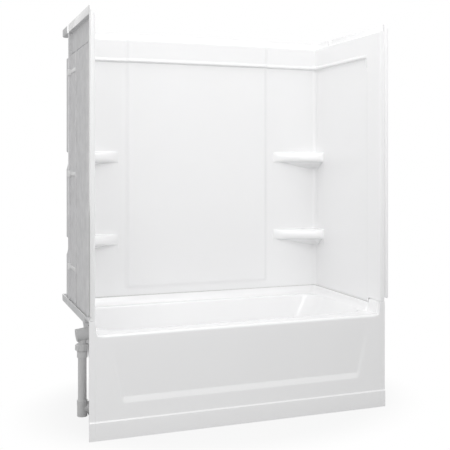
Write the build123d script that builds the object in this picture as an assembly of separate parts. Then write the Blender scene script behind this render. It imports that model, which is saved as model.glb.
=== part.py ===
from build123d import *
from math import atan2, cos, degrees, pi, sin, tan
import os

os.makedirs("parts", exist_ok=True)

# Tub and shower unit for a three-sided alcove, in millimetres.
# X runs left to right, Y front to back and Z up. The origin is on the floor, under the middle of the
# whole unit. The drain is at the left end.

# Overall size of the fitted unit
WIDTH = 1524.0                  # left stud face to right stud face
DEPTH = 805.0                   # front edge of the front nailing flanges to the rear stud face
HEIGHT = 1961.0                 # floor to the top of the top nailing flange
SHELL = 5.0                     # thickness of the moulded composite

# Planes that the moulded pieces share
FRONT_FLANGE_REACH = 31.0       # front nailing flange, forward of the apron face
SIDE_BUILD = 28.0               # stud face to the face of the front pilaster
BACK_BUILD = 27.0               # rear stud face to the face of the back wall
PANEL_RECESS = 8.0              # end-wall panel, set back behind the pilaster and the top band
FLANGE_T = 5.0                  # thickness of every nailing flange
MARGIN = 60.0                   # how far a large cutting solid runs past what it cuts
CUT = 1.0                       # how far a bore's cutting solid runs past the bore

# Bathtub: apron, rim and wall ledge
RIM_Z = 472.0                   # top of the front rim
RIM_R = 12.0                    # rounding of the rim's front edge
LEDGE_RISE = 42.0               # rim to the ledge that the walls stand on
CURB_RUN = 45.0                 # hollow curb between the wall face and the rim
CURB_HOLLOW = 3.0               # power of the curb's rise: flat at its foot, steep under the walls
CURB_BANDS = 6                  # straight bands that make up that curve
CURB_CORNER_R = 85.0            # corner radius at the foot of that curb
EAR_RISE = 24.0                 # ledge to the top of the two front corner ears
EAR_LENGTH = 118.0              # ears, front to back
TUB_FLANGE_RISE = 29.0          # ledge to the top of the tub's own nailing flange
TOE_HEIGHT = 85.0               # toe band along the foot of the apron
TOE_REACH = 5.0                 # toe band, forward of the apron face
SCOOP_DROP = 42.0               # rim to the shallow scoop pressed into the apron
SCOOP_DEEP_Z = 186.0
SCOOP_FOOT_Z = 158.0
SCOOP_DEPTH = 7.0
SCOOP_SIDE_TOP = 91.0           # from the tub's end to the scoop, at the scoop's top
SCOOP_SIDE_FOOT = 154.0         # the same at its foot
SCOOP_BEVEL = 12.0              # width of the slanted sides of the scoop

# Bathtub: basin
FRONT_RIM = 92.0                # apron face to the opening
BACK_RIM = 57.0                 # back wall face to the opening
LEFT_RIM = 44.0                 # pilaster face to the opening, drain end
RIGHT_RIM = 26.0                # the same, backrest end
FLOOR_Z = 100.0                 # inside floor of the basin
LEFT_RUN = 52.0                 # how far each basin wall leans in on its way down
RIGHT_RUN = 238.0
FRONT_RUN = 73.0
BACK_RUN = 95.0
MOUTH_R = 120.0                 # corner radius of the opening
FLOOR_R = 90.0                  # corner radius at the floor
FLOOR_FILLET = 50.0             # cove between walls and floor
RIM_RIB_T = 4.0                 # upright ribs under the front rim
RIM_RIB_DROP = 60.0
RIM_RIB_REACH = 30.0            # how far they run in past the opening's edge
RIM_RIB_COUNT = 4

# Levelling pad under the basin floor
PAD_FROM_DRAIN = 100.0          # drain centre to the pad
PAD_END_INSET = 90.0            # pad's far end, inside the basin floor's end
PAD_SIDE_INSET = 80.0
PAD_CHANNEL_WIDTH = 40.0        # channels moulded across its underside
PAD_CHANNEL_DEPTH = 30.0
PAD_CHANNELS = 3

# Walls
SEAL_T = 4.0                    # foam seal between ledge and walls
SEAL_WIDTH = 9.0
SEAM_FROM_STUD = 179.0          # rear stud face to the seam of back wall and end wall
WALL_CORNER_R = 25.0
SEAM_LIP = 12.0                 # outward lip at the seam, beyond the shell
SEAM_LIP_JOINT = 2.0            # gap between the tub's nailing flange and the seam lips above it
FOOT_LIP = 7.0                  # outward lip along the foot, beyond the shell
BAND_DROP = 159.0               # top of the nailing flange to the underside of the top band
BEAD_R = 9.0                    # round bead along the band's lower edge
BEAD_PROUD = 5.0
TOP_LEDGE_DROP = 35.0           # top of the nailing flange to the ledge above the band
FLANGE_CORNER_R = 12.0
FLANGE_NOTCH = 22.0             # gap in the top flange, to each side of the seam
PILASTER_LENGTH = 133.0         # front pilaster, front to back
FRONT_EDGE_R = 8.0              # rounding of the pilaster's front edge
FLANGE_FOOT_RISE = 20.0         # top of the ear to the foot of the front nailing flange
FLANGE_FOOT_R = 12.0
FLANGE_CHAMFER = 26.0           # cut corner at the flange's upper front end
RIB_FROM_SEAM = 175.0           # upright rib on the outside of each end wall
RIB_T = 8.0
RIB_PROUD = 6.0
EAR_JOINT = 2.0                 # gap between the ear and the end wall round it

# Back wall: raised centre panel and corner shelves
CENTRE_MARGIN = 322.0           # end-wall panel face to the raised panel's foot
CENTRE_RAISE = 12.0
CENTRE_BEVEL = 15.0
CENTRE_FOOT_RISE = 42.0         # ledge to the foot of the raised panel
SHELF_RISES = (794.0, 341.0)    # ledge to the top of each shelf
SHELF_NOSE = 56.0               # height of the shelf's front edge
SHELF_REACH_X = 282.0           # along the back wall, from the corner
SHELF_REACH_Y = 107.0           # along the return, from the corner
UNDERSIDE_DROP = 40.0           # sloping underside, down to its tip in the corner
UNDERSIDE_INSET_X = 26.0        # underside starts this far behind the shelf's ends
UNDERSIDE_INSET_Y = 10.0
UNDERSIDE_TIP_X = 30.0
UNDERSIDE_TIP_Y = 24.0

# Clips that hold the seams together
CLIP_BAND_DROP = 84.0           # underside of the top band to the middle of the upper clip
CLIP_LEDGE_RISE = 199.0         # ledge to the middle of the lower clip
CLIP_OFF_CENTRE = 22.0          # middle clip, below half way between the other two
CLIP_HEAD_HEIGHT = 32.0
CLIP_HEAD_WALL = 6.0
CLIP_HEAD_FLOOR = 2.4           # clip's outer wall, over the ends of the lips
CLIP_ARM_HEIGHT = 18.0
CLIP_ARM_T = 4.0
CLIP_GAP = 0.2

# Waste and overflow: what the pipe parts share
FIT = 0.15                      # clearance on the radius where pipe parts slide together
THREAD_FIT = 0.4                # the same where the drain screws into the shoe
WASTE_FROM_APRON = 380.0        # apron face to the centre line of drain and overflow
PIPE_FROM_STUD = 37.0           # left stud face to the axis of the overflow tube
PIPE_R = 21.0
PIPE_WALL = 2.6
SOCKET_DEPTH = 16.0
SOCKET_OUTSIDE = 5.0            # socket's outside, beyond the pipe's radius
BODY_OUTSIDE = 4.0              # the same on the body of the tee and the shoe
THREAD_OUTSIDE = 3.0            # the same on the screwed ends under the slip nuts
NUT_WALL = 8.5
NUT_LIP = 5.0
NUT_LUGS = 8
NUT_LUG_R = 3.0
WASHER_T = 5.0

# Overflow
OVERFLOW_DROP = 64.0            # rim to the centre of the overflow hole
OVERFLOW_HOLE_R = 32.0
OVERFLOW_GASKET_T = 4.0
OVERFLOW_FLANGE_WIDTH = 6.0     # beyond the overflow hole
OVERFLOW_FLANGE_T = 6.0
OVERFLOW_BORE_R = 22.0
CHAMBER_R = 31.0                # body of the overflow elbow
CHAMBER_LENGTH = 60.0
CHAMBER_WALL = 3.5
NECK_UNDER = 1.3                # neck's radius, less than the pipe's
NECK_TAPER_R = 27.0             # taper between chamber and neck
NECK_TAPER_DROP = 12.0          # overflow's centre to the top of the taper
NECK_TAPER_HEIGHT = 24.0
NECK_SHOWING = 27.0             # neck between the taper and the coupling
NECK_INSERT = 33.0              # neck inside the coupling
PLATE_R = 40.0                  # round overflow plate inside the basin
PLATE_T = 2.0
PLATE_STANDOFF = 9.0
PLATE_SLOT = 24.0               # opening in the plate's lower edge
SCREW_SPACING = 54.0
SCREW_R = 2.6
SCREW_HEAD_R = 5.0
SCREW_HEAD_T = 3.0
SCREW_GAP = 0.3

# Overflow tube's coupling, and the tee
COUPLING_HUB = 30.0             # height of the coupling's hub, below its thread
COUPLING_THREAD = 25.0
UPPER_NUT_LENGTH = 30.0
WASTE_AXIS_Z = 36.0
TEE_TOP_RISE = 42.0             # waste arm's axis to the top of the tee's hub
TEE_HUB_HEIGHT = 24.0
BRANCH_GAP = 1.0                # tee's hub to the shoulder of the branch
BRANCH_THREAD = 15.0
ARM_NUT_LENGTH = 23.0

# Drain
DRAIN_FROM_PIPE = 205.0         # axis of the overflow tube to the drain
BARREL_R = 21.8
BARREL_WALL = 2.8
BARREL_LENGTH = 28.0            # below the basin's inside floor
BARREL_HOLE_GAP = 0.5           # between the barrel and the hole in the basin floor
SHOE_WALL = 2.8
SHOE_FLANGE_WIDTH = 15.7        # beyond the hole in the basin floor
SHOE_FLANGE_T = 6.0
SHOE_GASKET_T = 3.0
SHOE_BRANCH = 42.0              # drain's axis to the mouth of the arm socket
DRAIN_FLANGE_R = 36.0
DRAIN_FLANGE_T = 3.5
DRAIN_FLANGE_EDGE_R = 2.1
CROSSBAR_T = 4.0
CROSSBAR_HUB_R = 6.0
CROSSBAR_HUB_HEIGHT = 8.0

# Drain stopper, drawn closed
POST_R = 3.5
POST_RISE = 2.0                 # post's top, above the basin's inside floor
POST_STUD_R = 2.6
STEM_WALL = 2.65
STEM_GAP = 0.35                 # running clearance between stem and post
STEM_END_GAP = 2.0              # between the post's top and the end of the stem's bore
STEM_LENGTH = 19.0              # below the cap
STEM_STUD_R = 4.2
STEM_STUD_LENGTH = 4.0
CAP_R = 29.0
CAP_EDGE = 3.0
CAP_DOME = 4.5
STOPPER_SEAL_R = 26.0
STOPPER_SEAL_T = 2.5

# Planes and heights worked out from the sizes above
STUD_X = WIDTH / 2
STUD_Y = DEPTH / 2
APRON_Y = -STUD_Y + FRONT_FLANGE_REACH
FAR_FRONT = -STUD_Y - DEPTH
PILASTER_X = STUD_X - SIDE_BUILD
PANEL_X = PILASTER_X + PANEL_RECESS
BACK_Y = STUD_Y - BACK_BUILD
BAND_BACK_Y = BACK_Y - PANEL_RECESS
SEAM_Y = STUD_Y - SEAM_FROM_STUD
PILASTER_Y = APRON_Y + PILASTER_LENGTH
LEDGE_Z = RIM_Z + LEDGE_RISE
EAR_Z = LEDGE_Z + EAR_RISE
TUB_FLANGE_Z = LEDGE_Z + TUB_FLANGE_RISE
SCOOP_TOP_Z = RIM_Z - SCOOP_DROP
WALL_FOOT_Z = LEDGE_Z + SEAL_T
SEAM_LIP_Z = TUB_FLANGE_Z + SEAM_LIP_JOINT
CENTRE_FOOT_Z = LEDGE_Z + CENTRE_FOOT_RISE
FLANGE_FOOT_Z = EAR_Z + FLANGE_FOOT_RISE
BAND_Z = HEIGHT - BAND_DROP
TOP_LEDGE_Z = HEIGHT - TOP_LEDGE_DROP
SHELL_X = PANEL_X + SHELL
LIP_X = SHELL_X + SEAM_LIP
BASIN_DEPTH = RIM_Z - FLOOR_Z
OPENING_X = (-PILASTER_X + LEFT_RIM, PILASTER_X - RIGHT_RIM)
OPENING_Y = (APRON_Y + FRONT_RIM, BACK_Y - BACK_RIM)
UPPER_CLIP_Z = BAND_Z - CLIP_BAND_DROP
LOWER_CLIP_Z = LEDGE_Z + CLIP_LEDGE_RISE
MIDDLE_CLIP_Z = (UPPER_CLIP_Z + LOWER_CLIP_Z) / 2 - CLIP_OFF_CENTRE
CLIP_Z = {"upper": UPPER_CLIP_Z, "middle": MIDDLE_CLIP_Z, "lower": LOWER_CLIP_Z}

# Places of the waste and overflow, worked out in the same way
WASTE_Y = APRON_Y + WASTE_FROM_APRON
PIPE_X = -STUD_X + PIPE_FROM_STUD
DRAIN_X = PIPE_X + DRAIN_FROM_PIPE
PIPE_BORE_R = PIPE_R - PIPE_WALL
PIPE_SOCKET_R = PIPE_R + FIT
HUB_R = PIPE_R + SOCKET_OUTSIDE
BODY_R = PIPE_R + BODY_OUTSIDE
THREAD_R = PIPE_R + THREAD_OUTSIDE
NUT_R = THREAD_R + NUT_WALL
OVERFLOW_Z = RIM_Z - OVERFLOW_DROP
OVERFLOW_FLANGE_R = OVERFLOW_HOLE_R + OVERFLOW_FLANGE_WIDTH
NECK_R = PIPE_R - NECK_UNDER
NECK_BORE_R = NECK_R - CHAMBER_WALL
NECK_TAPER_TOP_Z = OVERFLOW_Z - NECK_TAPER_DROP
NECK_TAPER_FOOT_Z = NECK_TAPER_TOP_Z - NECK_TAPER_HEIGHT
COUPLING_TOP_Z = NECK_TAPER_FOOT_Z - NECK_SHOWING
COUPLING_SHOULDER_Z = COUPLING_TOP_Z - COUPLING_THREAD
COUPLING_FOOT_Z = COUPLING_SHOULDER_Z - COUPLING_HUB
NECK_END_Z = COUPLING_TOP_Z - NECK_INSERT
TUBE_TOP_Z = COUPLING_FOOT_Z + SOCKET_DEPTH
TEE_TOP_Z = WASTE_AXIS_Z + TEE_TOP_RISE
TUBE_FOOT_Z = TEE_TOP_Z - SOCKET_DEPTH
BRANCH_SHOULDER_X = PIPE_X + HUB_R + BRANCH_GAP
BRANCH_END_X = BRANCH_SHOULDER_X + BRANCH_THREAD
ARM_START_X = BRANCH_END_X - SOCKET_DEPTH
ARM_END_X = DRAIN_X - SHOE_BRANCH + SOCKET_DEPTH
DRAIN_HOLE_R = BARREL_R + BARREL_HOLE_GAP
BARREL_BORE_R = BARREL_R - BARREL_WALL
BARREL_FOOT_Z = FLOOR_Z - BARREL_LENGTH
SHOE_BORE_R = BARREL_R + THREAD_FIT
SHOE_BODY_R = SHOE_BORE_R + SHOE_WALL
SHOE_FLANGE_R = DRAIN_HOLE_R + SHOE_FLANGE_WIDTH
SHOE_TOP_Z = FLOOR_Z - SHELL - SHOE_GASKET_T
HUB_TOP_Z = BARREL_FOOT_Z + CROSSBAR_HUB_HEIGHT
SEAT_Z = FLOOR_Z + DRAIN_FLANGE_T
CAP_Z = SEAT_Z + STOPPER_SEAL_T
POST_TOP_Z = FLOOR_Z + POST_RISE
STEM_BORE_R = POST_R + STEM_GAP
STEM_R = STEM_BORE_R + STEM_WALL

# The basin's drain-end wall leans, so everything on the overflow is drawn square to it: along the
# axis of this plane, outwards from the wall's outer face. Its own +Y runs down the wall.
LEFT_LEAN = atan2(LEFT_RUN, BASIN_DEPTH)
OVERFLOW_X = OPENING_X[0] - SHELL + OVERFLOW_DROP * tan(LEFT_LEAN)
OVERFLOW = Plane(origin=(OVERFLOW_X, WASTE_Y, OVERFLOW_Z), x_dir=(0, 1, 0),
                 z_dir=(-cos(LEFT_LEAN), 0, -sin(LEFT_LEAN)))
WALL_INNER = -SHELL * cos(LEFT_LEAN)
PLATE_FRONT = WALL_INNER - PLATE_STANDOFF


def block(x, y, z):
    """Box between two limits on each axis."""
    centre = [(pair[0] + pair[1]) / 2 for pair in (x, y, z)]
    size = [pair[1] - pair[0] for pair in (x, y, z)]
    return Pos(*centre) * Box(*size)


def upright(x, y, radius, z):
    """Upright cylinder between two heights."""
    return Pos(x, y, (z[0] + z[1]) / 2) * Cylinder(radius, z[1] - z[0])


def lying(y, z, radius, x):
    """Cylinder along X between two places."""
    return Pos((x[0] + x[1]) / 2, y, z) * Rot(0, 90, 0) * Cylinder(radius, x[1] - x[0])


def overflow_disc(radius, along, across=0.0):
    """Cylinder square to the leaning basin wall, between two distances from its outer face."""
    return OVERFLOW * Pos(across, 0, (along[0] + along[1]) / 2) * Cylinder(radius, along[1] - along[0])


def section(x, y, radius, z):
    """Rounded rectangle at one height."""
    outline = RectangleRounded(x[1] - x[0], y[1] - y[0], radius)
    return Pos((x[0] + x[1]) / 2, (y[0] + y[1]) / 2, z) * outline


def alcove(half_x, back, radius, z):
    """Room between three walls, with rounded rear corners, running far out at the front."""
    outline = section((-half_x, half_x), (FAR_FRONT, back), radius, z[0])
    return extrude(outline, z[1] - z[0])


def both_sides(shape):
    """A shape and its mirror image."""
    return shape + mirror(shape, about=Plane.YZ)


# Bathtub

def curb_level(share, grow):
    """Outline of the room above the rim, a share of the way up the curb."""
    inset = CURB_RUN * (1 - share) - grow
    half_x = PILASTER_X - inset
    radius = CURB_CORNER_R + (WALL_CORNER_R - CURB_CORNER_R) * share
    z = RIM_Z + LEDGE_RISE * share ** CURB_HOLLOW - grow
    return section((-half_x, half_x), (FAR_FRONT, BACK_Y - inset), radius, z)


def curb_air(grow):
    """Room above the rim, inside the curb and between the ears, grown into the material."""
    levels = [curb_level(band / CURB_BANDS, grow) for band in range(CURB_BANDS + 1)]
    half_x = PILASTER_X + grow
    ear_y = (FAR_FRONT, APRON_Y + EAR_LENGTH + grow)
    between_ears = block((-half_x, half_x), ear_y, (RIM_Z - grow, LEDGE_Z + MARGIN))
    return loft(levels, ruled=True) + extrude(levels[-1], MARGIN) + between_ears


def basin_air(grow):
    """Inside of the basin, grown into the material."""
    drop = (BASIN_DEPTH + grow) / BASIN_DEPTH
    mouth_x = (OPENING_X[0] - grow, OPENING_X[1] + grow)
    mouth_y = (OPENING_Y[0] - grow, OPENING_Y[1] + grow)
    floor_x = (mouth_x[0] + LEFT_RUN * drop, mouth_x[1] - RIGHT_RUN * drop)
    floor_y = (mouth_y[0] + FRONT_RUN * drop, mouth_y[1] - BACK_RUN * drop)
    floor = section(floor_x, floor_y, FLOOR_R, FLOOR_Z - grow)
    mouth = section(mouth_x, mouth_y, MOUTH_R, RIM_Z)
    bowl = loft([floor, mouth], ruled=True)
    bowl = fillet(bowl.edges().group_by(Axis.Z)[0], FLOOR_FILLET + grow)
    return bowl + extrude(mouth, MARGIN)


def apron_scoop(grow):
    """Shallow scoop in the apron, deepest near its foot."""
    face = APRON_Y + grow
    top = STUD_X - SCOOP_SIDE_TOP
    foot = STUD_X - SCOOP_SIDE_FOOT
    corners = [(-top, SCOOP_TOP_Z), (top, SCOOP_TOP_Z), (foot, SCOOP_FOOT_Z), (-foot, SCOOP_FOOT_Z)]
    shape = make_face(Polyline(*corners, close=True))
    outline = Plane.XZ.offset(-face) * shape
    inner = Plane.XZ.offset(-face - SCOOP_DEPTH) * offset(shape, -SCOOP_BEVEL)
    side = [(face, SCOOP_TOP_Z), (face + SCOOP_DEPTH, SCOOP_DEEP_Z), (face, SCOOP_FOOT_Z)]
    wedge = extrude(Plane.YZ * make_face(Polyline(*side, close=True)), STUD_X, both=True)
    return loft([outline, inner], ruled=True) & wedge


def tub_body(grow, beyond):
    """Everything under the tub's finished surface, set back into the material."""
    x = (-STUD_X - beyond, STUD_X + beyond)
    rear = STUD_Y + beyond
    face = APRON_Y + grow
    body = block(x, (face, rear), (-beyond, LEDGE_Z - grow))
    body += block(x, (face - TOE_REACH, rear), (-beyond, TOE_HEIGHT - grow))
    body -= curb_air(grow)
    ear_y = (face, APRON_Y + EAR_LENGTH - grow)
    body += both_sides(block((PILASTER_X + grow, STUD_X + beyond), ear_y, (RIM_Z, EAR_Z - grow)))
    return body - apron_scoop(grow)


def rim_rounding():
    """Corner that the rounded front edge of the rim leaves out."""
    x = (-PILASTER_X, PILASTER_X)
    corner = block(x, (APRON_Y, APRON_Y + RIM_R), (RIM_Z - RIM_R, RIM_Z))
    return corner - lying(APRON_Y + RIM_R, RIM_Z - RIM_R, RIM_R, x)


def tub_flange():
    """Nailing flange that stands on the ledge's outer edge, behind the ears' front face."""
    height = (LEDGE_Z - SHELL, TUB_FLANGE_Z)
    side = block((STUD_X - FLANGE_T, STUD_X), (APRON_Y + SHELL, STUD_Y), height)
    return both_sides(side) + block((-STUD_X, STUD_X), (STUD_Y - FLANGE_T, STUD_Y), height)


def rim_ribs():
    """Upright ribs between the apron and the basin, under the front rim."""
    step = (OPENING_X[1] - OPENING_X[0]) / RIM_RIB_COUNT
    reach = (APRON_Y + SHELL, OPENING_Y[0] + RIM_RIB_REACH)
    ribs = []
    for count in range(RIM_RIB_COUNT):
        x = OPENING_X[0] + step * (count + 0.5)
        across = (x - RIM_RIB_T / 2, x + RIM_RIB_T / 2)
        ribs.append(block(across, reach, (RIM_Z - RIM_RIB_DROP, RIM_Z - SHELL)))
    return ribs


def bathtub():
    """Basin, rim, apron, ears and nailing flange in one moulding."""
    tub = tub_body(0, 0) - rim_rounding()
    tub -= tub_body(SHELL, MARGIN) - basin_air(SHELL)
    tub += tub_flange()
    for rib in rim_ribs():
        tub += rib
    tub -= basin_air(0)
    tub -= upright(DRAIN_X, WASTE_Y, DRAIN_HOLE_R, (FLOOR_Z - SHELL - CUT, FLOOR_Z + CUT))
    return tub - overflow_disc(OVERFLOW_HOLE_R, (-OVERFLOW_HOLE_R, OVERFLOW_HOLE_R))


def levelling_pad():
    """Foam pad bonded under the basin floor, with channels across its underside."""
    x = (DRAIN_X + PAD_FROM_DRAIN, OPENING_X[1] - RIGHT_RUN - PAD_END_INSET)
    y = (OPENING_Y[0] + FRONT_RUN + PAD_SIDE_INSET, OPENING_Y[1] - BACK_RUN - PAD_SIDE_INSET)
    pad = block(x, y, (0, FLOOR_Z - SHELL))
    step = (x[1] - x[0]) / PAD_CHANNELS
    for count in range(PAD_CHANNELS):
        middle = x[0] + step * (count + 0.5)
        across = (middle - PAD_CHANNEL_WIDTH / 2, middle + PAD_CHANNEL_WIDTH / 2)
        pad -= block(across, (y[0] - CUT, y[1] + CUT), (-CUT, PAD_CHANNEL_DEPTH))
    return pad


# Walls

def wall_air(grow):
    """Room between the walls, wider below the top band, grown into the material."""
    lower = alcove(PANEL_X + grow, BACK_Y + grow, WALL_CORNER_R + grow, (-MARGIN, BAND_Z + grow))
    upper = alcove(PILASTER_X + grow, BAND_BACK_Y + grow, WALL_CORNER_R + grow, (0, HEIGHT + MARGIN))
    return lower + upper


def centre_slab(back, grow, z):
    """Raised slab on the back wall with bevelled upright edges."""
    half = PANEL_X - CENTRE_MARGIN - grow
    face = back - CENTRE_RAISE + grow
    near = half - CENTRE_BEVEL
    behind = back + MARGIN
    foot = back + grow
    corners = [(-half, behind), (-half, foot), (-near, face), (near, face), (half, foot), (half, behind)]
    return extrude(Pos(0, 0, z[0]) * make_face(Polyline(*corners, close=True)), z[1] - z[0])


def centre_panel(grow):
    """Raised centre panel, bevelled at its foot and carried up over the band."""
    foot = CENTRE_FOOT_Z + grow
    face = BACK_Y - CENTRE_RAISE + grow
    behind = BACK_Y + MARGIN
    slope = [(BACK_Y + grow, foot), (face, foot + CENTRE_BEVEL)]
    profile = [(behind, foot), *slope, (face, HEIGHT), (behind, HEIGHT)]
    side = extrude(Plane.YZ * make_face(Polyline(*profile, close=True)), STUD_X, both=True)
    lower = centre_slab(BACK_Y, grow, (foot, HEIGHT)) & side
    return lower + centre_slab(BAND_BACK_Y, grow, (BAND_Z + grow, HEIGHT + MARGIN))


def corner_outline(reach_x, reach_y, grow, z):
    """Corner between the back wall and the right return, cut off by a slanted front edge."""
    left = PANEL_X - reach_x
    front = BACK_Y - reach_y
    far_x = PANEL_X + MARGIN
    far_y = BACK_Y + MARGIN
    corners = [(left, far_y), (left, BACK_Y), (PANEL_X, front), (far_x, front), (far_x, far_y)]
    face = make_face(Polyline(*corners, close=True))
    if grow > 0:
        face = offset(face, -grow, kind=Kind.INTERSECTION)
    return Pos(0, 0, z) * face


def corner_shelf(top, grow):
    """Shelf in the right rear corner with its sloping underside, grown into the material."""
    lip = top - SHELF_NOSE + grow
    nose = extrude(corner_outline(SHELF_REACH_X, SHELF_REACH_Y, grow, lip), top - grow - lip)
    under = corner_outline(SHELF_REACH_X - UNDERSIDE_INSET_X, SHELF_REACH_Y - UNDERSIDE_INSET_Y, grow, lip)
    tip = corner_outline(UNDERSIDE_TIP_X, UNDERSIDE_TIP_Y, grow, top - SHELF_NOSE - UNDERSIDE_DROP)
    return nose + loft([tip, under], ruled=True)


def finished_air(grow):
    """Room in front of the back wall's finished surface, grown into the material."""
    air = wall_air(grow) - centre_panel(grow)
    for rise in SHELF_RISES:
        air -= both_sides(corner_shelf(LEDGE_Z + rise, grow))
    return air


def bead(half_x, back, start_y):
    """Round bead along the band's lower edge, round the two rear corners."""
    reach = half_x + BEAD_R - BEAD_PROUD
    rear = back + BEAD_R - BEAD_PROUD
    z = BAND_Z + BEAD_R
    corners = [(reach, start_y, z), (reach, rear, z), (-reach, rear, z), (-reach, start_y, z)]
    path = FilletPolyline(*corners, radius=WALL_CORNER_R + BEAD_R - BEAD_PROUD)
    return sweep(Plane(origin=(reach, start_y, z), z_dir=(0, 1, 0)) * Circle(BEAD_R), path=path)


def wall_ring(reach, z):
    """Flat ring behind the wall surface, out to a distance beyond the shell."""
    out = SHELL + reach
    outside = alcove(PANEL_X + out, BACK_Y + out, WALL_CORNER_R + out, z)
    return outside - alcove(PANEL_X, BACK_Y, WALL_CORNER_R, z)


def back_wall():
    """Back wall with its two corner returns, four shelves, raised panel, band and flange."""
    rear_half = (SEAM_Y, STUD_Y + MARGIN)
    everywhere = (-STUD_X, STUD_X)
    finished = finished_air(0)
    shell = finished_air(SHELL) - finished
    shell &= block(everywhere, rear_half, (WALL_FOOT_Z, TOP_LEDGE_Z - SHELL / 2))
    ledge_height = (TOP_LEDGE_Z - SHELL, TOP_LEDGE_Z)
    ledge = alcove(STUD_X, STUD_Y, FLANGE_CORNER_R, ledge_height) - finished
    foot = wall_ring(FOOT_LIP, (WALL_FOOT_Z, WALL_FOOT_Z + SHELL))
    wall = shell + (ledge & block(everywhere, rear_half, ledge_height))
    wall += foot & block(everywhere, rear_half, (WALL_FOOT_Z, WALL_FOOT_Z + SHELL))
    lip_y = (SEAM_Y, SEAM_Y + SHELL)
    wall += both_sides(block((PANEL_X, LIP_X), lip_y, (SEAM_LIP_Z, TOP_LEDGE_Z)))
    wall += both_sides(block((PILASTER_X, SHELL_X), lip_y, (BAND_Z, TOP_LEDGE_Z)))
    flange_z = (TOP_LEDGE_Z - SHELL, HEIGHT)
    flange = alcove(STUD_X, STUD_Y, FLANGE_CORNER_R, flange_z)
    flange -= alcove(STUD_X - FLANGE_T, STUD_Y - FLANGE_T, FLANGE_CORNER_R - FLANGE_T, flange_z)
    wall += flange & block(everywhere, (SEAM_Y + FLANGE_NOTCH, STUD_Y), flange_z)
    wall += bead(PILASTER_X, BAND_BACK_Y, SEAM_Y)
    centre_half = PANEL_X - CENTRE_MARGIN - CENTRE_BEVEL
    centre_bead_y = BAND_BACK_Y - CENTRE_RAISE + BEAD_R - BEAD_PROUD
    return wall + lying(centre_bead_y, BAND_Z + BEAD_R, BEAD_R, (-centre_half, centre_half))


def front_flange():
    """Front nailing flange of the right end wall, with a cut upper corner and a rounded foot."""
    behind = APRON_Y + SHELL
    cut = [(-STUD_Y, HEIGHT - FLANGE_CHAMFER), (-STUD_Y + FLANGE_CHAMFER, HEIGHT)]
    edge = [(-STUD_Y, FLANGE_FOOT_Z), *cut, (behind, HEIGHT), (behind, FLANGE_FOOT_Z)]
    plate = extrude(Plane.YZ.offset(STUD_X - FLANGE_T) * make_face(Polyline(*edge, close=True)), FLANGE_T)
    foot_edge = plate.edges().filter_by(Axis.X).sort_by_distance((STUD_X, -STUD_Y, FLANGE_FOOT_Z))[0]
    return fillet(foot_edge, FLANGE_FOOT_R)


def right_end_wall():
    """End wall: panel, front pilaster, top band, lips, outer rib and nailing flanges."""
    face_x = (PILASTER_X, PILASTER_X + SHELL)
    panel_x = (PANEL_X, SHELL_X)
    step_x = (PILASTER_X, SHELL_X)
    rear_y = (PILASTER_Y - SHELL, SEAM_Y)
    ear_top = EAR_Z + EAR_JOINT
    ear_back = APRON_Y + EAR_LENGTH + EAR_JOINT
    wall = block(panel_x, rear_y, (WALL_FOOT_Z, BAND_Z + SHELL))
    wall += block(face_x, (APRON_Y, PILASTER_Y), (WALL_FOOT_Z, TOP_LEDGE_Z))
    wall += block(step_x, (PILASTER_Y - SHELL, PILASTER_Y), (WALL_FOOT_Z, BAND_Z + SHELL))
    wall += block(face_x, rear_y, (BAND_Z, TOP_LEDGE_Z))
    wall += block(step_x, rear_y, (BAND_Z, BAND_Z + SHELL))
    wall += block((PILASTER_X, STUD_X), (APRON_Y, APRON_Y + SHELL), (ear_top, TOP_LEDGE_Z))
    front_edge = wall.edges().filter_by(Axis.Z).sort_by_distance((PILASTER_X, APRON_Y, BAND_Z))[0]
    wall = fillet(front_edge, FRONT_EDGE_R)
    lip_y = (SEAM_Y - SHELL, SEAM_Y)
    wall += block((PANEL_X, LIP_X), lip_y, (SEAM_LIP_Z, TOP_LEDGE_Z))
    wall += block(step_x, lip_y, (BAND_Z, TOP_LEDGE_Z))
    foot_x = (PANEL_X, SHELL_X + FOOT_LIP)
    wall += block(foot_x, (ear_back, SEAM_Y), (WALL_FOOT_Z, WALL_FOOT_Z + SHELL))
    wall += block((PILASTER_X, foot_x[1]), (APRON_Y + SHELL, ear_back + SHELL), (ear_top, ear_top + SHELL))
    wall -= block((0, STUD_X), (APRON_Y - CUT, ear_back), (0, ear_top))
    wall += block((PILASTER_X, STUD_X), (APRON_Y + SHELL, SEAM_Y), (TOP_LEDGE_Z - SHELL, TOP_LEDGE_Z))
    flange_y = (APRON_Y, SEAM_Y - FLANGE_NOTCH)
    wall += block((STUD_X - FLANGE_T, STUD_X), flange_y, (TOP_LEDGE_Z - SHELL, HEIGHT))
    rib_y = SEAM_Y - RIB_FROM_SEAM
    rib_x = (SHELL_X, SHELL_X + RIB_PROUD)
    wall += block(rib_x, (rib_y - RIB_T, rib_y), (WALL_FOOT_Z, BAND_Z))
    bead_place = Pos(PILASTER_X + BEAD_R - BEAD_PROUD, (PILASTER_Y + SEAM_Y) / 2, BAND_Z + BEAD_R)
    wall += bead_place * Rot(90, 0, 0) * Cylinder(BEAD_R, SEAM_Y - PILASTER_Y)
    return wall + front_flange()


def back_wall_seal():
    """Foam seal under the back wall and its two returns."""
    z = (LEDGE_Z, WALL_FOOT_Z)
    return wall_ring(SEAL_WIDTH - SHELL, z) & block((-STUD_X, STUD_X), (SEAM_Y, STUD_Y), z)


def right_wall_seal():
    """Foam seal under the right end wall, from the ear to the seam."""
    y = (APRON_Y + EAR_LENGTH + EAR_JOINT, SEAM_Y)
    return block((PANEL_X, PANEL_X + SEAL_WIDTH), y, (LEDGE_Z, WALL_FOOT_Z))


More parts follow.
